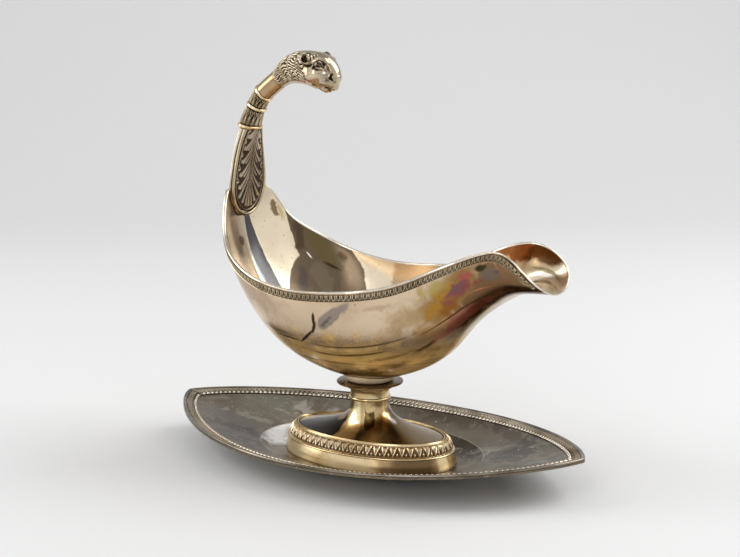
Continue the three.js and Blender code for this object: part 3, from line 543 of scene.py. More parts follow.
@dataclass
class Foot:
    """The boat's oval foot: plinth, fillet, leafed band, two step wires and the trumpet pedestal."""

    length: float = 113
    width: float = 71
    floor: float = 4.7
    plinth_height: float = 8
    plinth_wall: float = 1.6
    plinth_lean: float = 1.9
    fillet_height: float = 1.2
    fillet_proud: float = 0.9
    leaf_height: float = 5.9
    leaf_count: int = 54
    leaf_cuts: int = 22
    leaf_relief: float = 0.8
    leaf_run: Pair = (3.3, 4.5)
    wire_width: float = 0.85
    wire_height: float = 1
    wire_space: float = 0.6
    shelf_tarnish: float = 2.5
    pedestal_height: float = 19.7
    stem_radius: float = 11.7
    dome_sheet: float = 1.4
    dome_flange: float = 0.5
    dome_sweep: float = 0.3

    @property
    def size(self) -> Pair:
        """Length and width of the plinth."""
        return self.length, self.width

    @property
    def leaf_bottom(self) -> float:
        """Height of the fillet's top."""
        return self.floor + self.plinth_height + self.fillet_height

    @property
    def leaf_top(self) -> float:
        """Height of the leafed band's flat top."""
        return self.leaf_bottom + self.leaf_height

    @property
    def band_inset(self) -> Array:
        """How far the band's top edge stands in from the plinth, along and across."""
        return self.plinth_lean + np.array(self.leaf_run)

    def plinth(self) -> Patch:
        """The plain oval wall, leaning in a little, with a rounded lower edge."""
        top, lean, wall = self.floor + self.plinth_height, self.plinth_lean, self.plinth_wall
        outside = [(0.35, self.floor), (0.05, self.floor + 0.4), (0.1, self.floor + 1.4)]
        outside += [(lean * s**1.3, lerp(self.floor + 1.4, top, s)) for s in np.linspace(0.25, 1, 5)]
        inside = [(lean + wall, top), (wall, self.floor)]
        return swept_oval([(i, i, z) for i, z in outside + inside], self.size)

    def fillet(self) -> Patch:
        """The fine half-round wire between plinth and band."""
        bottom = self.leaf_bottom - self.fillet_height
        middle = (self.plinth_lean, bottom + self.fillet_height / 2)
        bulge = arc(middle, (-self.fillet_proud, self.fillet_height / 2), (-90, 90), 9)
        back = self.plinth_lean + self.plinth_wall
        section = bulge + [(back, self.leaf_bottom), (back, bottom)]
        return swept_oval([(i, i, z) for i, z in section], self.size)

    def leaf_band(self) -> Patch:
        """The convex band: a quarter oval of pointed leaves, and a flat top that carries the step wires."""
        turn = np.linspace(0, np.pi / 2, 27)[None, :]
        foot = self.plinth_lean + 0.3
        angle = self.even_angles(self.leaf_count * self.leaf_cuts)[:, None]
        down = 1 - turn / (np.pi / 2)
        phase = (np.arange(len(angle)) / self.leaf_cuts)[:, None]
        carved = LeafFrieze(border=0.05, blade=0.41, outline=0.14, dart=1, point=2.1, fill=0.6).height(phase, down)
        inset = [lerp(self.band_inset[k], foot, np.cos(turn)) for k in (0, 1)]
        sunk = self.leaf_relief * (1 - carved)
        z = lerp(self.leaf_bottom, self.leaf_top, np.sin(turn)) - sunk * np.sin(turn) * 0.8
        inward = sunk * np.cos(turn) ** 0.5
        face = oval(angle, self.length / 2 - inset[0] - inward, self.width / 2 - inset[1] - inward, z)
        inner = self.band_inset + 2 * self.wire_width + self.wire_space + 2.6
        shelf = oval(angle, *(np.array(self.size) / 2 - inner), self.leaf_top)
        under = oval(angle, *(np.array(self.size) / 2 - inner + 1.2), self.leaf_bottom)
        grid = np.concatenate([face, shelf, under], 1)
        hollow = np.concatenate([1 - carved, np.full((len(angle), 2), self.shelf_tarnish)], 1)
        return grid_patch(grid, wrap_rows=True, hollow=hollow)

    def even_angles(self, count: int) -> Array:
        """Angles at even steps of arc length round the oval, from a summed table of chord lengths."""
        fine = np.linspace(0, 2 * np.pi, 4001)
        run = run_along(oval(fine, self.length / 2, self.width / 2, 0))
        return np.interp(np.linspace(0, run[-1], count, endpoint=False), run, fine)

    def step_wire(self, order: int) -> Patch:
        """One of the two fine wires on the band's flat top, counted from the outside."""
        near = order * (self.wire_width + self.wire_space) + 0.2
        bulge = arc((near + self.wire_width / 2, self.leaf_top), (-self.wire_width / 2, self.wire_height), (0, 180), 9)
        along, across = self.band_inset
        return swept_oval([(along + i, across + i, z) for i, z in bulge], self.size)

    def pedestal(self) -> Patch:
        """The trumpet: rings that blend from the round stem to the oval flange.

        At a share s of the way out, the height over the flange is h (1 - s^sweep).
        """
        inset = self.band_inset + 2 * (self.wire_width + self.wire_space) + 0.4
        reach = np.array(self.size) / 2 - inset
        share = (np.linspace(0, 1, 60) ** 3)[:, None]
        angle = around(160)[None, :]

        def sheet(thickness: float) -> Array:
            """Rings of the outer or the inner face."""
            rise = (self.pedestal_height - self.dome_flange) * (1 - share**self.dome_sweep)
            z = np.maximum(self.leaf_top + self.dome_flange + rise - thickness, self.leaf_top)
            radius = self.stem_radius - thickness * (1 - share)
            half = [lerp(radius, r, share) - thickness * share**2 for r in reach]
            return oval(angle, half[0], half[1], z)

        rim = oval(angle, reach[0], reach[1], self.leaf_top)
        return grid_patch(np.concatenate([sheet(self.dome_sheet), rim, sheet(0)[::-1]]))

    def build(self, finishes: "Finishes") -> None:
        """Makes all pieces of the foot."""
        for name, patch, finish, node in (
            ("wall", self.plinth(), finishes.plinth, "foot_plinth"),
            ("wire", self.fillet(), finishes.gilt, "foot_fillet"),
            ("leaves", self.leaf_band(), finishes.leafed_gilt, "foot_leaf_band"),
            ("dome_wire_outer", self.step_wire(0), finishes.gilt, "foot_step_wire_outer"),
            ("dome_wire_inner", self.step_wire(1), finishes.gilt, "foot_step_wire_inner"),
            ("dome", self.pedestal(), finishes.dome, "pedestal"),
        ):
            add_piece(f"foot_{name}", patch, finish, node)


@dataclass
class Stem:
    """Turned pieces between the pedestal and the bowl."""

    bottom: float = 39.5
    radius: float = 11.7
    astragal_height: float = 2
    astragal_proud: float = 0.8
    collar_height: float = 5.2
    milled_radius: float = 14.2
    milled_height: float = 2.6
    milled_teeth: int = 92
    milled_relief: float = 0.6
    disc_radius: float = 19.9
    disc_height: float = 1.2
    neck_radius: float = 15.7
    neck_foot_radius: float = 11.4
    neck_round: float = 5

    @property
    def levels(self) -> Array:
        """Heights where collar, milled ring, disc and neck begin."""
        heights = [0, self.astragal_height + self.collar_height, self.milled_height, self.disc_height]
        return self.bottom + np.cumsum(heights)

    def collar(self) -> Patch:
        """Astragal and short cylinder."""
        (low, top, *_), r = self.levels, self.radius
        profile = [(r, low)]
        bulge = arc((r, low + self.astragal_height / 2), (self.astragal_proud, self.astragal_height / 2), (-90, 90), 11)
        profile += bulge + [(r - 0.15, top - 2.6), (r, top - 1), (r + 0.25, top - 0.4), (r + 0.6, top)]
        return turned(profile)

    def milled(self) -> Patch:
        """The toothed ring: each tooth is a rounded bulge, r = radius - relief (1 - |cos|^0.6) round the circle."""
        angle = around(self.milled_teeth * 8)[None, :]
        share = np.linspace(0, 1, 7)[:, None]
        tooth = np.abs(np.cos(angle * self.milled_teeth / 2)) ** 0.6
        crown = 1 - np.abs(2 * share - 1) ** 4
        radius = self.milled_radius - self.milled_relief * (1 - tooth) - 0.35 * (1 - crown)
        grid = oval(angle, radius, radius, self.levels[1] + self.milled_height * share)
        return grid_patch(grid, hollow=np.broadcast_to(1 - tooth * crown, grid.shape[:2]))

    def disc(self) -> Patch:
        """The thin drip disc with a rounded edge."""
        low, half = self.levels[2], self.disc_height / 2
        edge = arc((self.disc_radius - half, low + half), (half, half), (-90, 90), 9)
        return turned([(0.5, low), *edge, (0.5, low + self.disc_height)])

    def neck(self, bowl: Bowl) -> Patch:
        """The short quarter round that carries the bowl, whose top follows the bowl's underside at a gap.

        Args:
            bowl: that it carries.

        Returns:
            The piece.
        """
        low = self.levels[3]
        angle = around(128)[None, :]
        turn = np.linspace(0, np.pi / 2, 14)[:, None]
        radius = lerp(self.neck_foot_radius, self.neck_radius, np.sin(turn))
        under = under_bowl(bowl, radius * np.cos(angle), radius * np.sin(angle)) - GAP
        wall = oval(angle, radius, radius, np.minimum(low + self.neck_round * (1 - np.cos(turn)), under))
        inner = self.neck_radius * np.linspace(0.9, 0.02, 8)[:, None]
        x, y = inner * np.cos(angle), inner * np.sin(angle)
        cap = np.stack([x, y, under_bowl(bowl, x, y) - GAP], -1)
        return grid_patch(np.concatenate([wall, cap]))

    def build(self, bowl: Bowl, finishes: "Finishes") -> None:
        """Makes the four pieces."""
        add_piece("stem_post", self.collar(), finishes.gilt, "stem_collar")
        add_piece("stem_milled_ring", self.milled(), finishes.leafed_gilt, "milled_ring")
        add_piece("stem_drip_disc", self.disc(), finishes.gilt_with_painted_dark_reflection, "drip_disc")
        add_piece("stem_neck", self.neck(bowl), finishes.gilt_with_painted_bright_reflection, "neck_ring")


def under_bowl(bowl: Bowl, x: Array, y: Array) -> Array:
    """Heights of the bowl's outer face over points of the plan.

    The rib is found by the keel's x and the share across by y, and both are corrected because a rib leans.

    Args:
        bowl: whose underside is wanted.
        x: forward.
        y: to the left.

    Returns:
        The heights.
    """
    places = np.linspace(0.2, 0.8, 1200)
    keel_x = bowl.keel(places)[:, 0]
    x, y = np.broadcast_arrays(x, y)
    place = np.interp(x, keel_x, places)
    share = np.zeros_like(x)
    for _ in range(6):
        reach = bowl.edge(place)[..., 1]
        power = 2 / lerp(bowl.back_fullness, bowl.spout_fullness, place**2)
        share = np.arcsin(np.clip(np.abs(y) / reach, 0, 1) ** (1 / power)) / (np.pi / 2)
        error = x - bowl.wall_point(place, share, 0)[..., 0]
        place = place + error * (places[-1] - places[0]) / (keel_x[-1] - keel_x[0])
    return bowl.wall_point(place, share, 0)[..., 2]


# Tray


@dataclass
class Tray:
    """The pointed-oval tray: one sheet with an oval well, and mouldings in two halves mitred at the tips."""

    length: float = 280
    width: float = 156.6
    side_height: float = 19
    tip_rise: float = 6.6
    sheet: float = 1.2
    plan_power: float = 2.08
    plan_bluntness: float = 0.763
    tip_mitre: float = 1.2
    border_width: float = 8.8
    border_fall: float = 1.8
    wire_width: float = 2.2
    wire_height: float = 1.3
    leaf_width: float = 3.8
    leaf_height: float = 0.7
    leaf_pitch: float = 3.1
    bead_width: float = 1.9
    bead_height: float = 1
    bead_pitch: float = 2.95
    well_length: float = 144.6
    well_width: float = 103.2
    well_depth: float = 5.2
    well_cove: float = 1.8
    floor_margin: float = 2
    ring_height: float = 3.5
    ring_inset: float = 4
    ring_width: float = 2.5
    cuts: int = 384

    @property
    def floor_level(self) -> float:
        """Height of the well's floor."""
        return self.ring_height + self.sheet

    def plan(self, angle: Array, inset: Array, z: Array) -> Array:
        """Points of the pointed oval y = half width (1 - |x / half length|^power)^bluntness, set in.

        Args:
            angle: round the oval.
            inset: from the outline.
            z: height.

        Returns:
            The points.
        """
        angle, inset, z = np.broadcast_arrays(angle, inset, z)
        bow = (1 - np.abs(np.cos(angle)) ** self.plan_power) ** self.plan_bluntness
        x = (self.length / 2 - inset * self.tip_mitre) * np.cos(angle)
        return np.stack([x, np.sign(np.sin(angle)) * (self.width / 2 - inset) * bow, z], -1)

    def flange(self, angle: Array, inset: Array) -> Array:
        """Height of the flange under the mouldings, which rises to the tips with cos^2."""
        top = self.side_height + self.tip_rise * np.cos(angle) ** 2
        return top - self.wire_height - GAP - self.border_fall * inset / self.border_width

    def sheet_rings(self, foot: Foot) -> Array:
        """Rings of the dish's upper face from the well's floor out to the edge.

        The well's wall is a power of the share between two ovals, and the plain part sags by a sine arch.

        Args:
            foot: that stands in the well.

        Returns:
            Rings of points.
        """
        angle = around(self.cuts)[None, :]
        share = np.linspace(0, 1, 18)[:, None]
        low = np.array(foot.size) / 2 + self.floor_margin
        edge = np.array([self.well_length, self.well_width]) / 2
        rise = lerp(self.floor_level, self.floor_level + self.well_depth, share**self.well_cove)
        wall = oval(angle, lerp(low[0], edge[0], share), lerp(low[1], edge[1], share), rise)
        border = self.plan(angle, self.border_width, self.flange(angle, self.border_width))
        part = np.linspace(0, 1, 26)[1:-1, None, None]
        plain = lerp(wall[-1:], border, part)
        plain[..., 2] -= 0.5 * np.sin(np.pi * part[..., 0])
        inset = np.linspace(self.border_width, 0, 6)[:, None]
        flange = self.plan(angle, inset, self.flange(angle, inset))
        return np.concatenate([wall, plain, flange])

    def dish(self, foot: Foot) -> Patch:
        """The sheet: its upper and its lower face."""
        share = np.array([[0.3], [0.7]])
        middle = oval(around(self.cuts), share * foot.length / 2, share * foot.width / 2, self.floor_level)
        upper = np.concatenate([middle, self.sheet_rings(foot)])
        return grid_patch(np.concatenate([upper, upper[::-1] - [0, 0, self.sheet]]))

    def even_angles(self, inset: float, count: int) -> Array:
        """Angles of the back half at even steps of arc length, from tip to tip."""
        end = math.acos((1 - (GAP / self.width) ** (1 / self.plan_bluntness)) ** (1 / self.plan_power))
        fine = np.linspace(end, np.pi - end, 4001)
        run = run_along(self.plan(fine, inset, 0))
        return np.interp(np.linspace(0, run[-1], count), run, fine)

    def half_length(self, inset: float) -> float:
        """Arc length of the back half."""
        return float(run_along(self.plan(self.even_angles(inset, 2001), inset, 0))[-1])

    def strip(self, inset: float, width: float, section: Array, count: int) -> Array:
        """Rings of a moulding on the back half's flange.

        Args:
            inset: of its outer side.
            width: across the border.
            section: corners, as share across and height over the flange.
            count: of the rings.

        Returns:
            Rings of points.
        """
        angle = self.even_angles(inset + width / 2, count)[:, None]
        across = inset + width * section[..., 0]
        return self.plan(angle, across, self.flange(angle, across) + GAP + section[..., 1])

    def edge_wire(self) -> Patch:
        """The plain half-round edge moulding."""
        turn = np.linspace(0, np.pi, 11)
        section = np.stack([(1 - np.cos(turn)) / 2, self.wire_height * np.sin(turn) ** 0.6], -1)
        return grid_patch(self.strip(0, self.wire_width, section[None], 400))

    def leaf_band(self) -> Patch:
        """The strip of pointed leaves, whose tips point inwards."""
        inset = self.wire_width + GAP
        leaves = round(self.half_length(inset + self.leaf_width / 2) / self.leaf_pitch)
        count = leaves * LEAF_CUTS + 1
        down = np.linspace(0, 1, 13)[None, :]
        phase = (np.arange(count) / LEAF_CUTS)[:, None]
        carved = LeafFrieze(border=0.08, blade=0.38, outline=0.2, dart=0.9).height(phase, down)
        top = self.leaf_height * (0.35 + 0.65 * carved)
        section = np.stack([np.broadcast_to(down, top.shape), top], -1)
        floor = np.broadcast_to(np.array([[1, 0], [0, 0]]), (count, 2, 2))
        grid = self.strip(inset, self.leaf_width, np.concatenate([section, floor], 1), count)
        hollow = np.concatenate([1 - carved, np.zeros((count, 2))], 1)
        return grid_patch(grid, hollow=hollow)

    def bead_row(self) -> Patch:
        """Small domes on a thin strip: each dome is rings of radius r cos(t) at heights h sin(t)."""
        inset = self.wire_width + GAP + self.leaf_width + GAP
        base = np.array([[0, 0], [0, 0.22], [1, 0.22], [1, 0]])
        strip = grid_patch(self.strip(inset, self.bead_width, base[None], 400), hollow=np.full((400, 4), 0.8))
        middle = inset + self.bead_width / 2
        beads = round(self.half_length(middle) / self.bead_pitch)
        angle = self.even_angles(middle, beads + 2)[1:-1]
        centre = self.plan(angle, middle, self.flange(angle, middle) + GAP)
        radius = self.bead_width / 2 - 0.02
        turn = np.linspace(0, 0.44 * np.pi, 4)[:, None]
        angle = around(8)[None, :]
        height = (self.bead_height - 0.05) * np.sin(turn)
        dome = oval(angle, radius * np.cos(turn), radius * np.cos(turn), height + 0.05)
        one = grid_patch(dome)
        return joined([strip, *(replace(one, points=one.points + place) for place in centre)])

    def foot_ring(self, foot: Foot) -> Patch:
        """The low ring under the well, with a rounded lower edge."""
        section = [(0.4, 0), (0, 0.5), (0.6, self.ring_height), (self.ring_width, self.ring_height)]
        section += [(self.ring_width, 0.4), (self.ring_width - 0.4, 0)]
        size = (foot.length - 2 * self.ring_inset, foot.width - 2 * self.ring_inset)
        return swept_oval([(i, i, z) for i, z in section], size)

    def build(self, foot: Foot, finishes: "Finishes") -> None:
        """Makes the dish, the ring and both halves of the three mouldings."""
        dark = Slot.TARNISHED
        add_piece("tray_sheet", self.dish(foot), finishes.tray, "tray_dish", Body.STAND)
        add_piece("tray_ring", self.foot_ring(foot), finishes.tray, "tray_foot_ring", Body.STAND)
        mouldings = (
            ("wire", self.edge_wire(), finishes.worn_edge, dark, "edge_wire"),
            ("leaves", self.leaf_band(), finishes.tray_frieze, dark, "leaf_band"),
            ("beads", self.bead_row(), finishes.beads, Slot.SILVER, "bead_row"),
        )
        for side in ("back", "front"):
            for name, half, finish, slot, node in mouldings:
                patch = half if side == "back" else half.mirrored()
                add_piece(f"tray_{name}_{side}", patch, finish, f"tray_{node}_{side}", Body.STAND)


# Handle


@dataclass(frozen=True)
class Ridge:
    """A raised line of the palm relief: a cubic's four points, with widths and heights at both ends.

    Each point is a share of the panel's half width and the millimetres above the strap's tip.
    """

    points: tuple[Pair, ...]
    widths: Pair
    heights: Pair

    def height(self, side: Array, rise: Array, half: Callable[[Array], Array]) -> Array:
        """Height of the ridge: the root of 1 - (distance / width)^2 from the nearest point of the cubic.

        Args:
            side: distance from the middle line.
            rise: millimetres above the strap's tip.
            half: gives the panel's half width at a rise.

        Returns:
            Heights from 0 to the ridge's own.
        """
        t = np.linspace(0, 1, 26)[:, None]
        p = np.array(self.points)
        curve = (1 - t) ** 3 * p[0] + 3 * (1 - t) ** 2 * t * p[1] + 3 * (1 - t) * t**2 * p[2] + t**3 * p[3]
        curve[:, 0] *= half(curve[:, 1])
        width = lerp(self.widths[0], self.widths[1], t[:, 0] ** 1.5)
        top = lerp(self.heights[0], self.heights[1], t[:, 0])
        nearest = np.zeros(side.shape)
        for (x, y), w, h in zip(curve, width, top):
            away = ((side - x) ** 2 + (rise - y) ** 2) / w**2
            nearest = np.maximum(nearest, h * np.sqrt(np.maximum(1 - away, 0)))
        return nearest


@dataclass
class Handle:
    """The strap inside the bowl's back with its palm relief, and the collars and leafed sleeves above it.

    The spine is a spline in the plane y = 0 through rows of forward and up from the top of the bowl's back.
    """

    half_width: float = 17
    top_half_width: float = 9
    edge: float = 2
    bulge: float = 4.6
    tip_bulge: float = 0.4
    tip_length: float = 20
    taper: float = 1.5
    panel_margin: float = 2.9
    panel_thickness: float = 0.9
    border_margin: float = 0.5
    border_width: float = 1.9
    border_height: float = 1.1
    collar_length: float = 2
    collar_proud: float = 0.6
    sleeve_radius: float = 5.9
    lower_sleeve_half_width: float = 8.2
    sleeve_leaves: int = 14
    sleeve_cuts: int = 20
    sleeve_relief: float = 0.75
    lower_collar: float = 3
    middle_collar: float = 4
    upper_collar: float = 5
    head_start: float = 6
    spine_rows: tuple[Pair, ...] = (
        (3.2, -20.2), (5.5, 2.3), (6.4, 18.3), (8.7, 35.6), (13.7, 47.3), (19.3, 55.3), (31.3, 64.3),
        (39.8, 69.5), (48.3, 71.3), (56.3, 70.5), (62.3, 68.9), (68.3, 66.7), (72.8, 64.3),
    )
    frond_rises: tuple[float, ...] = (49.6, 42.2, 34.1, 25.9, 18.2)

    def __post_init__(self) -> None:
        """Lays the spine from the top of the bowl's back."""
        self.bowl = Bowl()
        self.spine_track = Track(np.array(self.spine_rows) + self.bowl.edge(np.array(0))[[0, 2]])

    def spine(self, station: Numbers) -> Array:
        """Points of the spine at stations."""
        x, z = np.moveaxis(self.spine_track.at(np.asarray(station, float) / (len(self.spine_rows) - 1)), -1, 0)
        return np.stack([x, np.zeros_like(x), z], -1)

    def spine_frame(self, station: Numbers) -> tuple[Array, Array, Array]:
        """Direction along the spine, direction to its front, and millimetres for each station.

        Args:
            station: row of the spine, with fractions between rows.

        Returns:
            The three arrays.
        """
        station, near = np.asarray(station, float), 0.01
        step = (self.spine(station + near) - self.spine(station - near)) / (2 * near)
        along = unit(step)
        front = np.stack([along[..., 2], np.zeros_like(station), -along[..., 0]], -1)
        return along, front, np.linalg.norm(step, axis=-1)

    def beyond(self, station: float, distance: float) -> float:
        """The station that lies a number of millimetres further along the spine."""
        return station + distance / float(self.spine_frame(station)[2])

    def in_section(self, station: Array, front: Array, side: Array) -> Array:
        """Points in front of and beside the spine."""
        station, front, side = np.broadcast_arrays(station, front, side)
        point = self.spine(station) + self.spine_frame(station)[1] * front[..., None]
        point[..., 1] = side
        return point

    @property
    def strap_end(self) -> float:
        """The station where the strap meets the lower collar."""
        return self.beyond(self.lower_collar, -self.collar_length / 2 - GAP)

    def rise(self, station: Numbers) -> Array:
        """Height above the strap's tip."""
        return self.spine(station)[..., 2] - self.spine(0)[2]

    def station_at(self, rise: Numbers) -> Array:
        """The station at a height above the strap's tip, from a fine table."""
        table = np.linspace(0, self.lower_collar, 3000)
        return np.interp(rise, self.rise(table), table)

    def strap_share(self, station: Array) -> Array:
        """Share of the way up the straight part of the strap, to the power of the taper."""
        share = (self.rise(station) - self.tip_length) / (self.rise(self.lower_collar) - self.tip_length)
        return np.clip(share, 0, 1) ** self.taper

    def straight_half(self, station: Array) -> Array:
        """Half width of the strap's straight part."""
        return lerp(self.half_width, self.top_half_width, self.strap_share(station))

    def strap_half(self, station: Array, margin: float) -> Array:
        """Half width of the strap less a margin: a quarter oval at the tip, then narrower to the collar."""
        rise = self.rise(station)
        reach = np.clip((self.tip_length - rise) / (self.tip_length - margin), 0, 1)
        tip = (self.half_width - margin) * np.sqrt(np.maximum(1 - reach**2, 0))
        return np.where(rise < self.tip_length, tip, self.straight_half(station) - margin)

    def crown(self, station: Array, side: Array) -> Array:
        """Distance of the strap's face from the spine: half the edge and a parabola across."""
        half = np.maximum(self.strap_half(station, 0), 1e-6)
        bulge = lerp(self.tip_bulge, self.bulge, self.strap_share(station))
        return self.edge / 2 + bulge * (1 - np.minimum(np.abs(side) / half, 1) ** 2)

    def clear_of_bowl(self, points: Array, gap: float) -> Array:
        """Points moved forward out of the bowl's wall, to the rib that halving finds at their height and side.

        Args:
            points: behind or within the wall.
            gap: to leave.

        Returns:
            The moved points.
        """
        y, z = np.abs(points[..., 1]), points[..., 2]
        depth = self.bowl.wall + GAP + gap
        low, high = np.full_like(y, 0.001), np.full_like(y, 0.4)
        for _ in range(26):
            place = (low + high) / 2
            edge = self.bowl.edge(place) - self.bowl.edge_frame(place)[1] * depth
            power = 2 / lerp(self.bowl.back_fullness, self.bowl.spout_fullness, place**2)
            turn = np.arcsin(np.clip(y / np.maximum(edge[..., 1], 1e-6), 0, 1) ** (1 / power))
            here = self.bowl.wall_point(place, turn / (np.pi / 2), depth)
            too_high = (here[..., 2] > z) | (edge[..., 1] < y)
            low, high = np.where(too_high, place, low), np.where(too_high, high, place)
        edge_z = self.bowl.edge(high)[..., 2]
        moved = points.copy()
        moved[..., 0] = np.where(z < edge_z - 0.2, np.maximum(points[..., 0], here[..., 0]), points[..., 0])
        return moved

    def strap(self) -> Patch:
        """The lens-shaped bar: crowned front and back, and cut clear of the bowl's wall."""
        station = lerp(0, self.strap_end, np.linspace(0, 1, 120)[:, None] ** 2)
        half = self.strap_half(station, 0)
        across = np.sin(np.linspace(-1, 1, 41) * np.pi / 2)[None, :]
        edge = np.sqrt(np.maximum(1 - across**2, 0)) ** 0.25
        height = self.crown(station, half * across) * np.maximum(edge, 0.35)
        front = self.clear_of_bowl(self.in_section(station, height, half * across), GAP)
        back = self.clear_of_bowl(self.in_section(station, -height, half * across), 0)
        return grid_patch(np.concatenate([front, back[:, ::-1]], 1))

    def over_outline(self, place: Array, inset: Array, height: Array) -> Array:
        """Points over the strap's front, set in from its outline.

        Places 0 to 1 run round the tip's quarter turn, and 1 to 2 up to the collar.

        Args:
            place: along the outline.
            inset: from the outline.
            height: over the face.

        Returns:
            The points.
        """
        place, inset, height = np.broadcast_arrays(place, inset, height)
        turn = np.minimum(place, 1) * np.pi / 2
        start = self.station_at(self.tip_length - (self.tip_length - inset) * np.cos(turn))
        station = lerp(start, self.strap_end, np.maximum(place - 1, 0))
        side = np.where(place < 1, (self.half_width - inset) * np.sin(turn), self.straight_half(station) - inset)
        return self.in_section(station, self.crown(station, side) + GAP + height, side)

    def border(self) -> Patch:
        """The half-round moulding round the palm relief."""
        place = np.linspace(0, 2, 200)[:, None]
        turn = np.linspace(0, np.pi, 11)[None, :]
        inset = self.border_margin + self.border_width * (1 - np.cos(turn)) / 2
        half = self.over_outline(place, inset, self.border_height * np.sin(turn) ** 0.7)
        return grid_patch(np.concatenate([half[1:][::-1] * MIRROR, half]))

    def panel_half(self, rise: Array) -> Array:
        """Half width of the panel at a rise."""
        return self.strap_half(self.station_at(rise), self.panel_margin)

    def palm_height(self, side: Array, rise: Array) -> Array:
        """Height of the palm relief, from 0 at the ground to 1.

        Fronds leave the middle rib and end in curled tips, commas fill the scallops, and a line follows the border.

        Args:
            side: distance from the middle line.
            rise: above the strap's tip.

        Returns:
            The heights.
        """
        side = np.abs(side)
        ridges = []
        for k, tip in enumerate(self.frond_rises):
            stem = min(tip + 15.5, 54.6)
            frond = ((0.03 + 0.012 * k, stem), (0.06, tip + 8.5), (0.3, tip + 4.5), (0.66, tip - 0.4))
            hook = ((0.62, tip + 0.2), (0.74, tip - 1.4), (0.8, tip - 0.4), (0.72, tip + 1.2))
            inner = ((0.03, stem - 3), (0.08, tip + 5.8), (0.22, tip + 2.4), (0.44, tip - 0.9))
            comma = ((0.95, tip + 6.2), (0.8, tip + 5.4), (0.72, tip + 4), (0.86, tip + 3.2))
            ridges.append(Ridge(frond, (0.35, 1.3), (0.6, 0.85)))
            ridges.append(Ridge(hook, (0.75, 0.45), (1, 0.95)))
            ridges.append(Ridge(inner, (0.3, 0.9), (0.5, 0.75)))
            ridges.append(Ridge(comma, (0.5, 0.75), (0.6, 0.75)))
        fan = (
            ((0, 26), (0, 18), (0, 12), (0, 6.6)),
            ((0.06, 25), (0.08, 17), (0.14, 11), (0.3, 6.9)),
            ((0.1, 24), (0.12, 18), (0.3, 12.5), (0.55, 9.2)),
            ((0.12, 26), (0.2, 21), (0.45, 16), (0.74, 12.4)),
        )
        ridges += [Ridge(points, (0.3, 1.25), (0.6, 1)) for points in fan]
        ridges.append(Ridge(((0, 54), (0, 44), (0, 30), (0, 20)), (0.3, 0.45), (0.7, 0.7)))
        relief = np.maximum.reduce([ridge.height(side, rise, self.panel_half) for ridge in ridges])
        inset = self.outline_distance(side, rise)
        scallop = 1.25 + 0.45 * np.cos(2 * np.pi * rise / 8)
        line = 0.75 * bell((inset - 0.7 - 0.35 * scallop) / 0.42)
        return np.maximum.reduce([relief * (inset > 0.5), line, 0.1 + 0 * relief])

    def outline_distance(self, side: Array, rise: Array) -> Array:
        """Distance in from the panel's outline: the shortfall of the radius at the tip, and of the side above.

        Args:
            side: distance from the middle line.
            rise: above the strap's tip.

        Returns:
            The distances.
        """
        below = (rise - self.panel_margin) / (self.tip_length - self.panel_margin)
        across = np.clip(side / (self.half_width - self.panel_margin), 0, 1)
        radius = np.hypot(across, np.clip(1 - below, 0, None))
        tip = (1 - radius) * (self.half_width - self.panel_margin)
        return np.where(rise < self.tip_length, tip, self.panel_half(rise) - side)

    def panel(self) -> Patch:
        """The palm relief as a height field over the strap's front."""
        first = self.station_at(self.panel_margin)
        last = self.beyond(self.strap_end, -GAP)
        share = np.concatenate([np.linspace(0, 0.12, 40)[:-1] ** 2 / 0.12, np.linspace(0.12, 1, 260)])
        station = lerp(first, last, share)[:, None]
        half = self.strap_half(station, self.panel_margin)
        across = np.linspace(-1, 1, 131)[None, :]
        side = half * across
        relief = self.palm_height(side, np.broadcast_to(self.rise(station), side.shape))
        floor = self.crown(station, side) + GAP
        front = self.in_section(station, floor + self.panel_thickness * (0.15 + 0.85 * relief), side)
        back = self.in_section(station, floor, side)[:, [-1, 0]]
        hollow = np.concatenate([1 - relief, np.ones((len(share), 2))], 1)
        return grid_patch(np.concatenate([front, back], 1), hollow=hollow)

    def tube(self, station: Array, half_depth: Numbers, half_width: Numbers, cuts: int, **extra: Array) -> Patch:
        """A tube of ovals round the spine, closed at both ends."""
        angle = around(cuts)[None, :]
        return grid_patch(self.in_section(station, half_depth * np.cos(angle), half_width * np.sin(angle)), **extra)

    def collar(self, station: float, half_depth: float, half_width: float) -> Patch:
        """A rounded ring round the spine, proud by 1 - |2 s|^4 along its length."""
        along = np.linspace(-0.5, 0.5, 13)[:, None]
        proud = self.collar_proud * (1 - (2 * np.abs(along)) ** 4)
        place = station + self.collar_length * along / float(self.spine_frame(station)[2])
        return self.tube(place, half_depth + proud, half_width + proud, TUBE_CUTS)

    def sleeve(self, start: float, end: float, size: Pair, end_size: Pair) -> Patch:
        """A tube of standing leaves with dark slits between them, a frieze whose blades point to the head.

        Args:
            start: station of the collar below.
            end: station of the collar above.
            size: half depth and half width at the start.
            end_size: the same at the end.

        Returns:
            The sleeve.
        """
        margin = self.collar_length / 2 + GAP
        share = np.linspace(0, 1, 40)[:, None]
        phase = (np.arange(self.sleeve_leaves * self.sleeve_cuts) / self.sleeve_cuts)[None, :]
        carved = LeafFrieze(border=0.03, blade=0.47, outline=0.16, dart=0.85, point=3.2).height(phase, share)
        station = lerp(self.beyond(start, margin), self.beyond(end, -margin), share)
        sunk = self.sleeve_relief * (1 - carved)
        depth = lerp(size[0], end_size[0], share) - sunk
        width = lerp(size[1], end_size[1], share) - sunk
        return self.tube(station, depth, width, phase.size, hollow=1 - carved)

    def neck(self) -> Patch:
        """The plain tube under the mane."""
        start = self.beyond(self.upper_collar, self.collar_length / 2 + GAP)
        station = np.linspace(start, self.beyond(self.head_start, -GAP), 40)[:, None]
        return self.tube(station, self.sleeve_radius, self.sleeve_radius, TUBE_CUTS)

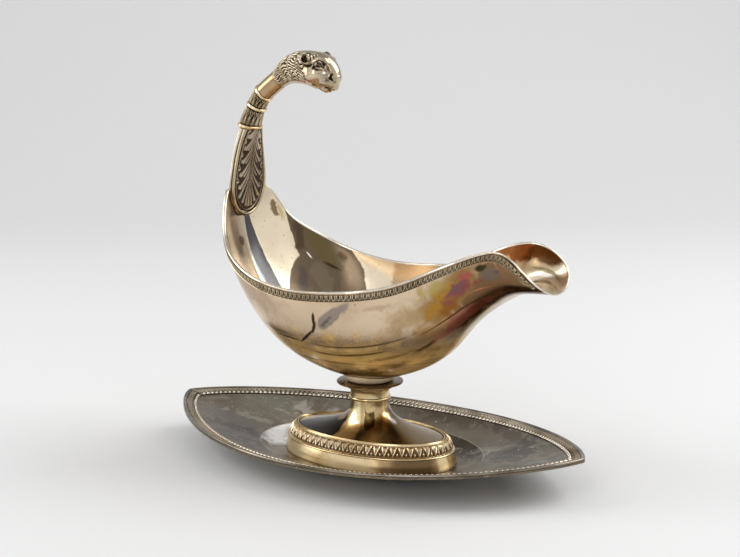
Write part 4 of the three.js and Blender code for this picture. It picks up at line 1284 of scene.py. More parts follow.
    def build(self, finishes: "Finishes") -> None:
        """Makes the strap with its relief, then collars and sleeves up to the head."""
        even = (self.sleeve_radius, self.sleeve_radius)
        flat = (self.sleeve_radius, self.lower_sleeve_half_width)
        wide = (self.edge / 2 + self.bulge + self.collar_proud / 2, self.top_half_width)
        low, middle, top = self.lower_collar, self.middle_collar, self.upper_collar
        for name, patch, finish, slot, node in (
            ("bar", self.strap(), finishes.strap, Slot.SILVER, "handle_strap"),
            ("palm", self.panel(), finishes.palm, Slot.TARNISHED, "handle_leaf_panel"),
            ("border", self.border(), finishes.border, Slot.GILT, "handle_panel_border"),
            ("collar_low", self.collar(low, *wide), finishes.collar, Slot.GILT, "lower_collar"),
            ("collar_middle", self.collar(middle, *even), finishes.collar, Slot.GILT, "middle_collar"),
            ("collar_top", self.collar(top, *even), finishes.collar, Slot.GILT, "upper_collar"),
            ("sleeve_low", self.sleeve(low, middle, flat, even), finishes.leafed, Slot.SILVER, "lower_leaf_sleeve"),
            ("sleeve_top", self.sleeve(middle, top, even, even), finishes.leafed, Slot.SILVER, "upper_leaf_sleeve"),
            ("neck", self.neck(), finishes.neck, Slot.GILT, "neck_sleeve"),
        ):
            add_piece(f"handle_{name}", patch, finish, node)


# Head


@dataclass(frozen=True)
class Lump:
    """A tapered rod of the head's casting.

    Attributes:
        start: forward, out and up from the head's start.
        end: the other end, which is the start again for an egg.
        radii: at both ends.
        blend: how softly it melts into what is there. Negative cuts a hollow.
        flat: factors that stretch space before the distance is taken.
        ring: radius of a hoop about the line, which then takes the rod's place.
    """

    start: Triple
    end: Triple
    radii: Pair
    blend: float = 1
    flat: Triple = (1, 1, 1)
    ring: float = 0

    def distance(self, points: Array) -> Array:
        """Distance to the nearest point of the rod or hoop less the radius there, by the largest stretch.

        Args:
            points: from the head's start.

        Returns:
            The distances, negative inside.
        """
        stretch = np.array(self.flat)
        a, b = np.array(self.start) * stretch, np.array(self.end) * stretch
        q = points * stretch - a
        axis = b - a
        if self.ring:
            off = q @ unit(axis)
            return np.hypot(np.sqrt(np.maximum((q * q).sum(-1) - off * off, 0)) - self.ring, off) - self.radii[0]
        share = np.clip(q @ axis / max(float(axis @ axis), 1e-9), 0, 1)
        away = np.linalg.norm(q - share[..., None] * axis, axis=-1)
        return (away - lerp(self.radii[0], self.radii[1], share)) / stretch.max()


@dataclass
class BeastHead:
    """The cast feline head: a swept skull with the forms of the face melted on, and a mane of waved locks.

    Its surface is found along rays that leave the spine and fan round over the muzzle.
    """

    rows: int = 190
    cap_rows: int = 70
    columns: int = 120
    sections: tuple[Pair, ...] = (
        (5.9, 5.9), (8.4, 7.9), (9.8, 9.6), (10.4, 10.2), (10.6, 9.6), (8.2, 7), (3.4, 4),
    )
    lumps: tuple[Lump, ...] = (
        Lump((27, 8.6, 12.4), (27, 8.6, 12.4), (3.6, 3.6), 0.8, flat=(1, 1.5, 1)),
        Lump((27, 11, 12.6), (27.3, 11.95, 12.7), (0.85, 0.85), 0.3, ring=2.8),
        Lump((27, 12, 12.5), (27, 12, 12.5), (2.2, 2.2), -0.3),
        Lump((28.4, 11.2, 13.8), (28.9, 11.2, 12.2), (1.1, 0.8), 0.3),
        Lump((30.4, 8.4, 10.6), (33, 7, 12.1), (1.25, 1.35), 0.8),
        Lump((33, 7, 12.1), (35.6, 4.6, 11.9), (1.35, 1.25), 0.6),
        Lump((35.6, 4.6, 11.8), (37.6, 4.2, 9.6), (1.2, 0.9), 0.6),
        Lump((35, 10.6, 8.4), (33.2, 10.9, 8), (3.3, 2.7), -0.8),
        Lump((34.9, 7.2, 9.1), (34.9, 7.2, 9.1), (1.6, 1.6), 0.2),
        Lump((32, 8.7, 9.2), (34.6, 8.5, 10.8), (0.5, 0.5), 0.3),
        Lump((34.6, 8.5, 10.8), (36.9, 6.6, 9.2), (0.5, 0.5), 0.3),
        Lump((32.4, 8.7, 7), (36.6, 6.9, 6.9), (0.55, 0.5), 0.4),
        Lump((28.4, 6.8, 3.2), (30.2, 6.9, 3.6), (4.7, 4.2), 2),
        Lump((35.4, 1.9, 11), (39, 1.2, 5), (2.2, 2.3), 1.4),
        Lump((39, 1.1, 4.8), (39, 0.8, 1.8), (2.3, 2.1), 0.8),
        Lump((36.6, 5.2, 4.6), (37.6, 4.8, 3.2), (2.1, 2.1), 1.2),
        Lump((36, 4, -0.4), (39, 1.8, -2.4), (3.2, 2.5)),
        Lump((38.9, 3.1, 1.6), (38.3, 3.3, 0.8), (1.6, 1.4), 0.5),
        Lump((39.6, 0.9, -4.2), (37.6, 0.4, -4.4), (2, 2.2), 0.7),
        Lump((34.8, 1.7, -5), (32.8, 1.2, -4), (2.5, 2.8)),
        Lump((37.6, 7.4, 8), (39.6, 6.6, 3.4), (2.2, 1.9), -1.6),
        Lump((40.7, 4.2, 3.4), (39.9, 5, 1.6), (0.55, 0.65), -0.4),
        Lump((39.9, 5, 1.4), (41, 3, -0.2), (0.7, 0.6), -0.4),
        Lump((37.4, 0, -7.4), (37.2, 3.4, -5.2), (0.6, 0.5), -0.4),
        Lump((37.2, 3.6, -5), (32.6, 7.2, -2.4), (0.5, 0.35), -0.4),
        Lump((29.4, 7.2, -2.4), (32.6, 5.6, -5), (0.4, 0.4), -0.6),
    )
    mane_end: float = 25.6
    strand_pitch: float = 2.2
    wave_length: float = 6
    mane_relief: float = 0.9

    def __post_init__(self) -> None:
        """Takes the spine from the handle and the section spline."""
        self.handle = Handle()
        self.section_track = Track(self.sections)
        self.base = self.handle.spine(self.handle.head_start)

    def rays(self) -> tuple[Array, Array, Array, Array]:
        """Starts and directions of the far half's rays, the skull's radius along them, and their angles.

        Angle 0 points to the throat and half a turn to the crown.
        """
        last = len(self.handle.spine_rows) - 1
        station = np.concatenate([np.linspace(self.handle.head_start, last, self.rows), np.full(self.cap_rows, last)])
        lean = np.concatenate([np.zeros(self.rows), np.linspace(0, np.pi / 2, self.cap_rows + 1)[1:]])[:, None, None]
        angle = np.linspace(0, np.pi, self.columns)[None, :, None]
        along, front, _ = self.handle.spine_frame(station)
        side = np.array([0, 1, 0])
        square = front[:, None, :] * np.cos(angle) + side * np.sin(angle)
        direction = square * np.cos(lean) + along[:, None, :] * np.sin(lean)
        share = (station - self.handle.head_start) / (last - self.handle.head_start)
        half_depth, half_width = np.moveaxis(self.section_track.at(share), -1, 0)[:, :, None]
        radius = 1 / np.hypot(np.cos(angle[..., 0]) / half_depth, np.sin(angle[..., 0]) / half_width)
        radius = lerp(radius, 1.2, np.sin(lean[..., 0]))
        start = np.broadcast_to(self.handle.spine(station)[:, None, :], direction.shape)
        return start, direction, radius, np.broadcast_to(angle[..., 0], radius.shape)

    def field(self, points: Array, skull: Array) -> Array:
        """Distance to the casting: the skull's, melted with each lump in turn.

        Two distances a and b melt as min(a, b) - h^2 k / 4 with h = max(k - |a - b|, 0) / k, and a hollow is the
        same of the negatives.

        Args:
            points: in space.
            skull: distance to the skull at each.

        Returns:
            Distances, negative inside.
        """
        value, near = skull, points - self.base
        for lump in self.lumps:
            sign, k = np.sign(lump.blend), abs(lump.blend)
            a, b = sign * value, lump.distance(near)
            h = np.maximum(k - np.abs(a - b), 0) / k
            value = sign * (np.minimum(a, b) - h * h * k / 4)
        return value

    def surface(self) -> tuple[Array, Array]:
        """Points of the half head, with the ray's angle.

        Each ray is stepped inwards until the field turns negative, and halving then finds the crossing.
        """
        start, direction, radius, angle = self.rays()
        reach = radius + 7
        high, low = reach.copy(), np.zeros_like(reach)
        found = np.zeros(reach.shape, bool)
        for share in np.linspace(1, 0, 29)[1:]:
            here = reach * share
            inside = self.field(start + direction * here[..., None], here - radius) < 0
            low = np.where(~found & inside, here, low)
            high = np.where(~found & ~inside, here, high)
            found |= inside
        for _ in range(8):
            middle = (low + high) / 2
            inside = self.field(start + direction * middle[..., None], middle - radius) < 0
            low, high = np.where(inside, middle, low), np.where(inside, high, middle)
        return start + direction * low[..., None], angle

    def mane(self, points: Array, angle: Array) -> tuple[Array, Array]:
        """Height of the mane's strands and where they lie.

        Strands are |cos| ridges of a phase round the neck, waved by sines along it, up to a curved edge.

        Args:
            points: of the half head.
            angle: of their rays.

        Returns:
            Height and cover of the mane, both from 0 to 1.
        """
        near = points - self.base
        along = run_along(points[:, self.columns // 2])[:, None]
        turned = 9.4 * angle
        swing = 2 * np.pi * along / self.wave_length + 1.3 * np.sin(turned * 0.45) + 0.6 * np.sin(along * 0.9)
        phase = (turned + 1.05 * np.sin(swing) + 0.9 * np.sin(along * 0.4 + 0.3 * turned)) / self.strand_pitch
        strand = np.abs(np.cos(np.pi * phase)) ** 0.7
        face = self.mane_end + 1.2 * np.sin(near[..., 2] * 0.9) - 0.09 * np.maximum(near[..., 2] - 9, 0) ** 2
        over = ease(face - near[..., 0])
        crown = ease((near[..., 2] - 12.2) / 2) * ease((33 - near[..., 0]) / 2) * 0.6
        throat = ease((angle - 0.6) / 0.35)
        return strand, np.maximum(over * throat, crown) * ease(along / 1.5)

    def casting(self) -> Patch:
        """The whole head, both halves."""
        points, angle = self.surface()
        height, where = self.mane(points, angle)

        def both(values: Array, flip: Numbers = 1) -> Array:
            """Values of one half repeated for the other."""
            return np.concatenate([values, values[:, ::-1][:, 1:-1] * flip], 1)

        grid = both(points, MIRROR)
        normal = ring_normals(grid)
        outward = grid - self.handle.spine(np.full(grid.shape[:2], 8))
        normal *= np.sign((normal * outward).sum(-1).mean())
        grown = both(where * (height - 1) * self.mane_relief)
        grid = grid + normal * grown[..., None]
        # Hollow: the dark between the mane's strands, and the painted shade of eyes, nostrils, mouth and ears.
        strand_hollows_and_cavity_shade = both(np.maximum(where * ease((0.9 - height) / 0.55), self.painted_cavity_shade(points)))
        return grid_patch(grid, hollow=np.clip(strand_hollows_and_cavity_shade, 0, 1))

    def painted_cavity_shade(self, points: Array) -> Array:
        """Painted shade in eye sockets, nostrils, mouth and ear hollows.

        Lumps that cut darken what is near, later lumps clear it again, and crisp ones have a line of painted shade
        round them.

        Args:
            points: of the half head.

        Returns:
            Darkness from 0 to 1.
        """
        near, dark = points - self.base, np.zeros(points.shape[:-1])
        for lump in self.lumps:
            away = lump.distance(near)
            if lump.blend > 0:
                dark = dark * ease(0.1 + away / 0.5)
                if lump.blend <= 0.4:
                    line = 1.2 if lump.ring else 0.55
                    dark = np.maximum(dark, 0.85 * ease(1.2 - np.abs(away - line) / line))
            elif lump.blend > -1:
                dark = np.maximum(dark, ease(1.1 - away / 0.6) * 0.85)
        return dark

    def build(self, finishes: "Finishes") -> None:
        """Makes the head."""
        add_piece("beast_head", self.casting(), finishes.head, "feline_head", crease=70)


# Finishes


class Graph:
    """The nodes of a material or world under construction. A value is a socket to link or a constant."""

    def __init__(self, owner: Material | bpy.types.World) -> None:
        """Empties the owner's tree."""
        owner.use_nodes = True
        self.owner, self.tree = owner, owner.node_tree
        self.tree.nodes.clear()

    def node(self, kind: str, settings: dict | None = None, **inputs: object) -> bpy.types.Node:
        """Adds a node.

        Args:
            kind: its type without the leading ShaderNode.
            settings: its own properties.
            inputs: values of its inputs by name, with _ for a space.

        Returns:
            The node.
        """
        made = self.tree.nodes.new("ShaderNode" + kind)
        for key, value in (settings or {}).items():
            setattr(made, key, value)
        for key, value in inputs.items():
            self.feed(made.inputs[key.replace("_", " ")], value)
        return made

    def feed(self, socket: Socket, value: object) -> None:
        """Links a socket to another, or sets its value."""
        if isinstance(value, Socket):
            self.tree.links.new(value, socket)
        else:
            socket.default_value = value

    def math(self, operation: str, *values: object, clamp: bool = False) -> Socket:
        """A Math node's result."""
        made = self.node("Math", {"operation": operation, "use_clamp": clamp})
        for socket, value in zip(made.inputs, values):
            self.feed(socket, value)
        return made.outputs[0]

    def place(self) -> Socket:
        """The point in the object's own coordinates, in metres."""
        return self.node("TexCoord").outputs["Object"]

    def noise(
        self, scale: float, detail: float, distortion: float = 0, stretch: Triple = (1, 1, 1), shift: float = 0
    ) -> Socket:
        """Fractal noise from 0 to 1 on Object coordinates.

        Args:
            scale: waves for each metre.
            detail: octaves.
            distortion: how far the pattern is folded.
            stretch: factors on the three coordinates.
            shift: moves the pattern, so that two noises differ.

        Returns:
            The factor.
        """
        mapping = self.node("Mapping", Vector=self.place(), Location=(shift, shift * 0.7, -shift), Scale=stretch)
        made = self.node("TexNoise", Vector=mapping.outputs[0], Scale=scale, Detail=detail, Distortion=distortion)
        return made.outputs["Fac"]

    def oval_distance(self, spot: Socket, middle: Pair, half: Pair, turn: float = 0) -> Socket:
        """Distance from the middle of a turned oval, 1 on its edge."""
        moved = self.node("Mapping", {"vector_type": "TEXTURE"}, Vector=spot, Location=(*middle, 0), Scale=(*half, 1))
        moved.inputs["Rotation"].default_value[2] = math.radians(turn)
        return self.node("VectorMath", {"operation": "LENGTH"}, Vector=moved.outputs[0]).outputs["Value"]

    def span(self, value: object, low: float, high: float, to: Pair = (0, 1)) -> object:
        """Maps low..high smoothly to another span, held at its ends."""
        ends = {"From_Min": low, "From_Max": high, "To_Min": to[0], "To_Max": to[1]}
        return self.node("MapRange", {"interpolation_type": "SMOOTHSTEP"}, Value=value, **ends).outputs[0]

    def blend(self, share: object, first: object, second: object) -> Socket:
        """Mixes two colours by a share."""
        made = self.node("Mix", {"data_type": "RGBA"})
        for place, value in ((0, share), (6, first), (7, second)):
            self.feed(made.inputs[place], linear(value) if isinstance(value, tuple) else value)
        return made.outputs[2]

    def attribute(self, name: str) -> Socket:
        """A mesh attribute."""
        return self.node("Attribute", {"attribute_name": name}).outputs["Fac"]

    def bump(self, height: object, distance: float, strength: float) -> Socket:
        """A normal bent by a height in metres times the distance."""
        return self.node("Bump", Height=height, Distance=distance, Strength=strength).outputs[0]

    def metal(self, colour: object, roughness: object, normal: object, bare: object = 1) -> None:
        """Ends the tree in metal, of which only the bare share is clean."""
        shader = self.node("BsdfPrincipled", Metallic=bare, Base_Color=colour, Roughness=roughness, Normal=normal)
        self.feed(self.node("OutputMaterial").inputs["Surface"], shader.outputs[0])


def linear(colour: Colour) -> tuple[float, ...]:
    """A colour's linear light, with full cover.

    Above 0.04 a display value v becomes ((v + 0.055) / 1.055) ^ 2.4, and below it v / 12.92.
    """
    shown = np.array(colour) / 255
    return (*np.where(shown > 0.04045, ((shown + 0.055) / 1.055) ** 2.4, shown / 12.92).tolist(), 1)


@dataclass(frozen=True)
class StainAndLight:
    """A patch of colour with a ragged edge, an oval in two coordinates of a surface. Some are tarnish, and many are
    painted reflections, highlights and shade.

    Attributes:
        middle: of the oval.
        reach: its half sizes, and the degrees that it is turned, if any.
        colour: of the patch.
        soft: share of the oval over which it fades.
        ragged: how much noise moves its edge.
        cover: how fully it covers, from 0 to 1.
    """

    middle: Pair
    reach: Pair | Triple
    colour: Colour
    soft: float = 0.5
    ragged: float = 0.3
    cover: float = 0.9

    def over(self, g: Graph, spot: Socket, rough: object, colour: object) -> Socket:
        """Lays the patch over a colour.

        It fades from 1 - soft to 1 of the oval's distance |(spot - middle) turned back / reach|, moved by the noise.

        Args:
            g: the tree.
            spot: the surface's two coordinates.
            rough: noise about 0.
            colour: what lies under it.

        Returns:
            The new colour.
        """
        length, width, *turn = self.reach
        edge = g.math("MULTIPLY_ADD", rough, self.ragged, g.oval_distance(spot, self.middle, (length, width), *turn))
        return g.blend(g.span(edge, 1, 1 - self.soft, (0, self.cover)), colour, self.colour)


def stains_and_lights(*rows: tuple) -> tuple[StainAndLight, ...]:
    """Patches of tarnish and painted light from rows of their attributes."""
    return tuple(StainAndLight(*row) for row in rows)


def laid(marks: Sequence[StainAndLight], g: Graph, spot: Socket, rough: object, colour: object) -> object:
    """A colour with patches of tarnish and painted light laid over it in order.

    Args:
        marks: the patches.
        g: the tree.
        spot: the surface's two coordinates.
        rough: noise about 0.
        colour: what lies under them.

    Returns:
        The new colour.
    """
    for mark in marks:
        colour = mark.over(g, spot, rough, colour)
    return colour


class Spot(Enum):
    """The two coordinates in which a finish places its patches of tarnish and painted light."""

    AROUND = "angle about the upright axis in radians, and distance from it in units of 25 mm"
    PLAN = "the object's own x and y in metres"
    SIDE = "the object's own x and z in metres"

    def socket(self, g: Graph) -> Socket:
        """The coordinates as a vector whose third part is 0.

        Args:
            g: the tree.

        Returns:
            The coordinates.
        """
        part = g.node("SeparateXYZ", Vector=g.place()).outputs
        if self is not Spot.AROUND:
            return g.node("CombineXYZ", X=part["X"], Y=part["Y" if self is Spot.PLAN else "Z"]).outputs[0]
        angle = g.math("ARCTAN2", part["Y"], part["X"])
        across = g.math("MULTIPLY", part["X"], part["X"])
        away = g.math("SQRT", g.math("MULTIPLY_ADD", part["Y"], part["Y"], across))
        return g.node("CombineXYZ", X=angle, Y=g.math("MULTIPLY", away, 40)).outputs[0]


@dataclass(frozen=True)
class CarvedMetal:
    """Metal that is bright where it stands proud and dark in the hollows of its carving.

    Attributes:
        name: of the material.
        bright: colour of the worn tops.
        tint: second colour, which clouds the first.
        dark: colour of the hollows.
        depth: how strongly they darken.
        roughness: of the worn tops.
        clouds: waves of the clouding for each metre.
        bare: share of clean metal. The rest is dull film.
        spot: coordinates of the patches.
        marks: patches of tarnish and painted light laid over the clouds.
    """

    name: str
    bright: Colour
    tint: Colour
    dark: Colour
    depth: float = 0.9
    roughness: float = 0.2
    clouds: float = 40
    bare: float = 1
    spot: Spot = Spot.AROUND
    marks: tuple[StainAndLight, ...] = ()

    def material(self) -> Material:
        """Builds the node tree: clouds of the two bright colours and the patches of tarnish and painted light, then the
        dark hollows.
        """
        g = Graph(bpy.data.materials.new(self.name))
        cloud = g.span(g.noise(self.clouds, 5, 0.4), 0.35, 0.68)
        colour: object = g.blend(cloud, self.bright, self.tint)
        if self.marks:
            colour = laid(self.marks, g, self.spot.socket(g), ragged_noise(g), colour)
        speck = g.span(g.noise(700, 3), 0.6, 0.78)
        colour = g.blend(g.math("MULTIPLY", speck, 0.35), colour, self.dark)
        hollow = g.span(g.attribute("hollow"), 0.25, 0.9)
        colour = g.blend(g.math("MULTIPLY", hollow, self.depth), colour, self.dark)
        wear = g.noise(260, 6, 0.2, stretch=(1, 1, 0.35), shift=0.3)
        rough = g.math("MULTIPLY_ADD", wear, 0.16, self.roughness - 0.08)
        rough = g.math("MULTIPLY_ADD", hollow, 0.3, rough, clamp=True)
        scratches = g.noise(900, 2, 0, stretch=(1, 0.12, 0.5), shift=0.9)
        g.metal(colour, rough, g.bump(scratches, 0.00008, 0.25), self.bare)
        return g.owner


def ragged_noise(g: Graph) -> Socket:
    """Fine noise about 0 that frays a patch's edge: 5 (noise - 1/2)."""
    return g.math("MULTIPLY_ADD", g.noise(120, 7, 0.6), 5, -2.5)


@dataclass(frozen=True)
class BowlSilver:
    """The bowl's silver: creamy and worn, gilt below, with pink patches at the spout, tarnish, and painted reflections,
    highlights and shade.
    """

    name: str = "bowl_silver"
    cream: Colour = (220, 197, 168)
    warm: Colour = (196, 170, 142)
    gold: Colour = (226, 186, 118)
    brown: Colour = (100, 72, 28)
    speck: Colour = (74, 62, 46)
    inside_cream: Colour = (234, 219, 194)
    inside_grey: Colour = (208, 188, 162)
    # Painted reflections in light and dark bands, painted highlights in the white and pale spots, and painted shade low
    # on the bowl, among tarnish.
    outer_stains_and_light: tuple[StainAndLight, ...] = stains_and_lights(
        ((0.3, -0.86), (0.12, 0.2), (184, 160, 138), 0.8), ((0.67, -0.72), (0.1, 0.22), (172, 144, 104), 0.9),
        ((0.6, -0.87), (0.05, 0.03), (176, 150, 116), 0.9, 0.6, 0.6),
        ((0.5, -0.83), (0.023, 0.115, 19), (144, 132, 122), 0.35, 0.2),
        ((0.486, -0.79), (0.006, 0.05, 19), (104, 94, 88), 0.7, 1, 0.8),
        ((0.35, -0.625), (0.06, 0.022, -23), (160, 138, 102), 0.4),
        ((0.4625, -0.81), (0.0042, 0.058, 3), (66, 48, 38), 0.4, 0.02, 1),
        ((0.4585, -0.748), (0.0045, 0.058, 9), (66, 48, 38), 0.4, 0.02, 1),
        ((0.434, -0.672), (0.005, 0.085, 20), (66, 48, 38), 0.4, 0.02, 1),
        ((0.37, -0.6), (0.055, 0.011, -23), (74, 56, 40), 0.6, 0.2, 1),
        ((0.54, -0.602), (0.17, 0.008, 5), (112, 88, 50), 0.5, 0.2),
        ((0.54, -0.575), (0.18, 0.016, 5), (246, 208, 142)), ((0.5, -0.535), (0.13, 0.012, 5), (122, 90, 42), 0.4),
        ((0.5, -0.49), (0.15, 0.03, 4), (230, 190, 114), 0.7, 0.7, 0.8),
        ((0.6, -0.45), (0.07, 0.025, 6), (140, 104, 48), 0.6, 0.6, 0.7),
        ((0.52, -0.3), (0.2, 0.12), (112, 82, 34), 0.8),
        ((0.413, -0.455), (0.022, 0.012, -35), (255, 250, 236), 0.8, 0.1, 1),
        ((0.73, -0.6), (0.09, 0.3, 20), (176, 140, 92), 0.6), ((0.67, -0.42), (0.035, 0.03), (100, 76, 36), 0.6),
        ((0.87, -0.66), (0.14, 0.5, 6), (118, 88, 60), 0.3, 0.25, 0.96),
        ((0.745, -0.77), (0.08, 0.27, 8), (146, 114, 72), 0.5, 0.15, 1),
        ((0.705, -0.87), (0.05, 0.09), (176, 158, 92), 0.9, 0.6),
        ((0.71, -0.74), (0.04, 0.17, 10), (168, 124, 52), 0.8, 0.5),
        ((0.74, -0.67), (0.035, 0.12, 10), (140, 88, 40), 0.8, 0.5),
        ((0.772, -0.86), (0.03, 0.08), (166, 84, 80), 0.8, 0.6),
        ((0.768, -0.76), (0.045, 0.1, 4), (134, 80, 76), 0.8, 0.6),
        ((0.756, -0.8), (0.02, 0.05), (118, 84, 88), 0.8, 0.7, 0.8),
        ((0.8, -0.76), (0.03, 0.05), (142, 62, 64), 0.9, 0.6), ((0.835, -0.82), (0.04, 0.09), (112, 99, 84), 0.7, 0.4),
        ((0.799, -0.89), (0.022, 0.045), (60, 54, 36), 0.5, 0.4, 1),
        ((0.85, -0.85), (0.012, 0.03), (92, 72, 84), 0.8, 0.4),
        ((0.815, -0.67), (0.045, 0.018, 24), (186, 118, 84), 0.8), ((0.92, -0.62), (0.05, 0.14), (82, 58, 34)),
        ((0.925, -0.9), (0.025, 0.02), (168, 156, 118), 0.8),
        ((0.78, -0.43), (0.1, 0.12), (200, 128, 110), 0.4, 0.2, 0.95),
        ((0.76, -0.55), (0.12, 0.012, 7), (92, 58, 36), 0.5, 0.1, 1),
        ((0.79, -0.31), (0.085, 0.011, 34), (96, 56, 38), 0.5, 0.2), ((0.8, -0.2), (0.1, 0.05, 20), (206, 176, 136)),
        ((0.82, -0.12), (0.1, 0.05, 14), (166, 186, 168), 0.6), ((0.82, 0.62), (0.14, 0.34), (150, 100, 78), 0.4),
        ((0.72, 0.7), (0.06, 0.22), (200, 152, 74), 0.7),
    )
    # Painted reflections in cream, dark and blue-grey panels, and painted highlights in the white spots, among some
    # tarnish.
    inner_stains_and_light: tuple[StainAndLight, ...] = stains_and_lights(
        ((0.095, -0.55), (0.04, 0.3, 3), (186, 160, 138), 0.5, 0.1),
        ((0.078, -0.3), (0.009, 0.17, 3), (116, 88, 64), 0.5, 0.1),
        ((0.06, 0.2), (0.13, 0.15, -32), (86, 84, 84), 0.12, 0.05, 1),
        ((0.128, 0.1), (0.03, 0.1, -32), (122, 132, 138), 0.7, 0.4, 0.8),
        ((0.107, 0.85), (0.014, 0.08), (118, 96, 64), 0.6, 0.9),
        ((0.125, 0.9), (0.018, 0.06), (186, 166, 104), 0.8, 0.8, 0.7),
        ((0.252, 0.82), (0.093, 0.5, 7), (104, 90, 72), 0.06, 0.04, 1),
        ((0.205, 0.5), (0.04, 0.26), (104, 90, 72), 0.08, 0.04, 1),
        ((0.182, 0.86), (0.02, 0.2), (82, 68, 52), 0.6, 0.4), ((0.196, 0.55), (0.018, 0.12), (84, 76, 72), 0.7),
        ((0.236, 0.9), (0.036, 0.14, 8), (104, 90, 60), 0.1, 0.04), ((0.24, 0.66), (0.04, 0.11, 4), (118, 104, 84)),
        ((0.262, 0.78), (0.028, 0.014, 24), (56, 46, 32), 0.5, 0.1), ((0.29, 0.9), (0.018, 0.06), (66, 50, 36)),
        ((0.3, 0.7), (0.016, 0.16), (116, 98, 78), 0.4, 0.2, 0.7), ((0.312, 0.6), (0.012, 0.05), (70, 54, 40)),
        ((0.206, 0.755), (0.006, 0.018, 24), (255, 250, 236), 0.6, 0.1, 1),
        ((0.5, 0.84), (0.1, 0.4), (188, 160, 126), 0.14, 0.08), ((0.63, 0.9), (0.09, 0.4), (170, 142, 104), 0.4),
        ((0.8, 0.985), (0.1, 0.15), (160, 94, 38), 0.25, 0.2, 0.95),
        ((0.87, 0.97), (0.05, 0.16), (104, 66, 32), 0.4, 0.4),
        ((0.785, 0.87), (0.012, 0.08), (252, 180, 100), 0.5, 0.5),
        ((0.905, 0.68), (0.07, 0.05, -6), (255, 250, 234), 0.5, 0.1, 0.95),
        ((0.9, 0.77), (0.05, 0.035, -6), (146, 132, 98), 0.6, 0.5),
        ((0.925, 0.5), (0.06, 0.06, -4), (150, 132, 98), 0.5, 0.6), ((0.955, 0.4), (0.04, 0.05), (240, 210, 164)),
        ((0.88, 0.2), (0.1, 0.16), (206, 174, 126), 0.6, 0.3, 0.7),
    )

    def outside(self, g: Graph, wall: Socket, rough: object, height: object) -> Socket:
        """Colour of the outer face: cream above and gold below, then its marks in order: tarnish, painted reflections,
        painted highlights and painted shade low down.

        Args:
            g: the tree.
            wall: place and share on the wall.
            rough: noise about 0.
            height: ragged height in metres.

        Returns:
            The colour.
        """
        colour = g.blend(g.span(g.noise(13, 3, 0.3, shift=0.2), 0.4, 0.66), self.cream, self.warm)
        colour = g.blend(g.span(height, 0.092, 0.076), colour, self.gold)
        lines = g.span(g.noise(60, 3, 0.3, stretch=(0.12, 0.12, 2.4), shift=0.6), 0.5, 0.64)
        low = g.math("MULTIPLY", g.span(height, 0.086, 0.07), g.math("MULTIPLY", lines, 0.7))
        return laid(self.outer_stains_and_light, g, wall, rough, g.blend(low, colour, self.brown))

    def inside(self, g: Graph, wall: Socket, rough: object) -> Socket:
        """Colour of the inner face: cream and pale grey, then its marks in order: painted reflections in light and dark
        panels, painted highlights, and some tarnish.
        """
        cloud = g.span(g.noise(11, 4, 0.6, shift=1.3), 0.46, 0.7)
        return laid(self.inner_stains_and_light, g, wall, rough, g.blend(cloud, self.inside_cream, self.inside_grey))

    def material(self) -> Material:
        """The inner or the outer colour by the hollow attribute, with specks, scratches and a dull film low down."""
        g = Graph(bpy.data.materials.new(self.name))
        wall = g.node("UVMap", {"uv_map": "surface"}).outputs[0]
        rough_edge = ragged_noise(g)
        height = g.math("MULTIPLY_ADD", rough_edge, 0.006, g.node("SeparateXYZ", Vector=g.place()).outputs["Z"])
        inner = g.span(g.attribute("hollow"), 0.4, 0.6)
        colour = g.blend(inner, self.outside(g, wall, rough_edge, height), self.inside(g, wall, rough_edge))
        speck = g.math("MULTIPLY", g.span(g.noise(560, 2), 0.68, 0.78), 0.55)
        colour = g.blend(speck, colour, self.speck)
        rough = g.math("MULTIPLY_ADD", g.noise(70, 6, 0.5, shift=0.4), 0.26, 0.1)
        scratches = g.noise(420, 3, 0.3, stretch=(0.2, 1, 1), shift=0.8)
        surface = g.math("MULTIPLY_ADD", scratches, 0.02, g.noise(16, 2))
        bare = g.math("MAXIMUM", inner, g.span(height, 0.072, 0.096, (0.45, 1)))
        g.metal(colour, rough, g.bump(surface, 0.0012, 0.6), bare)
        return g.owner


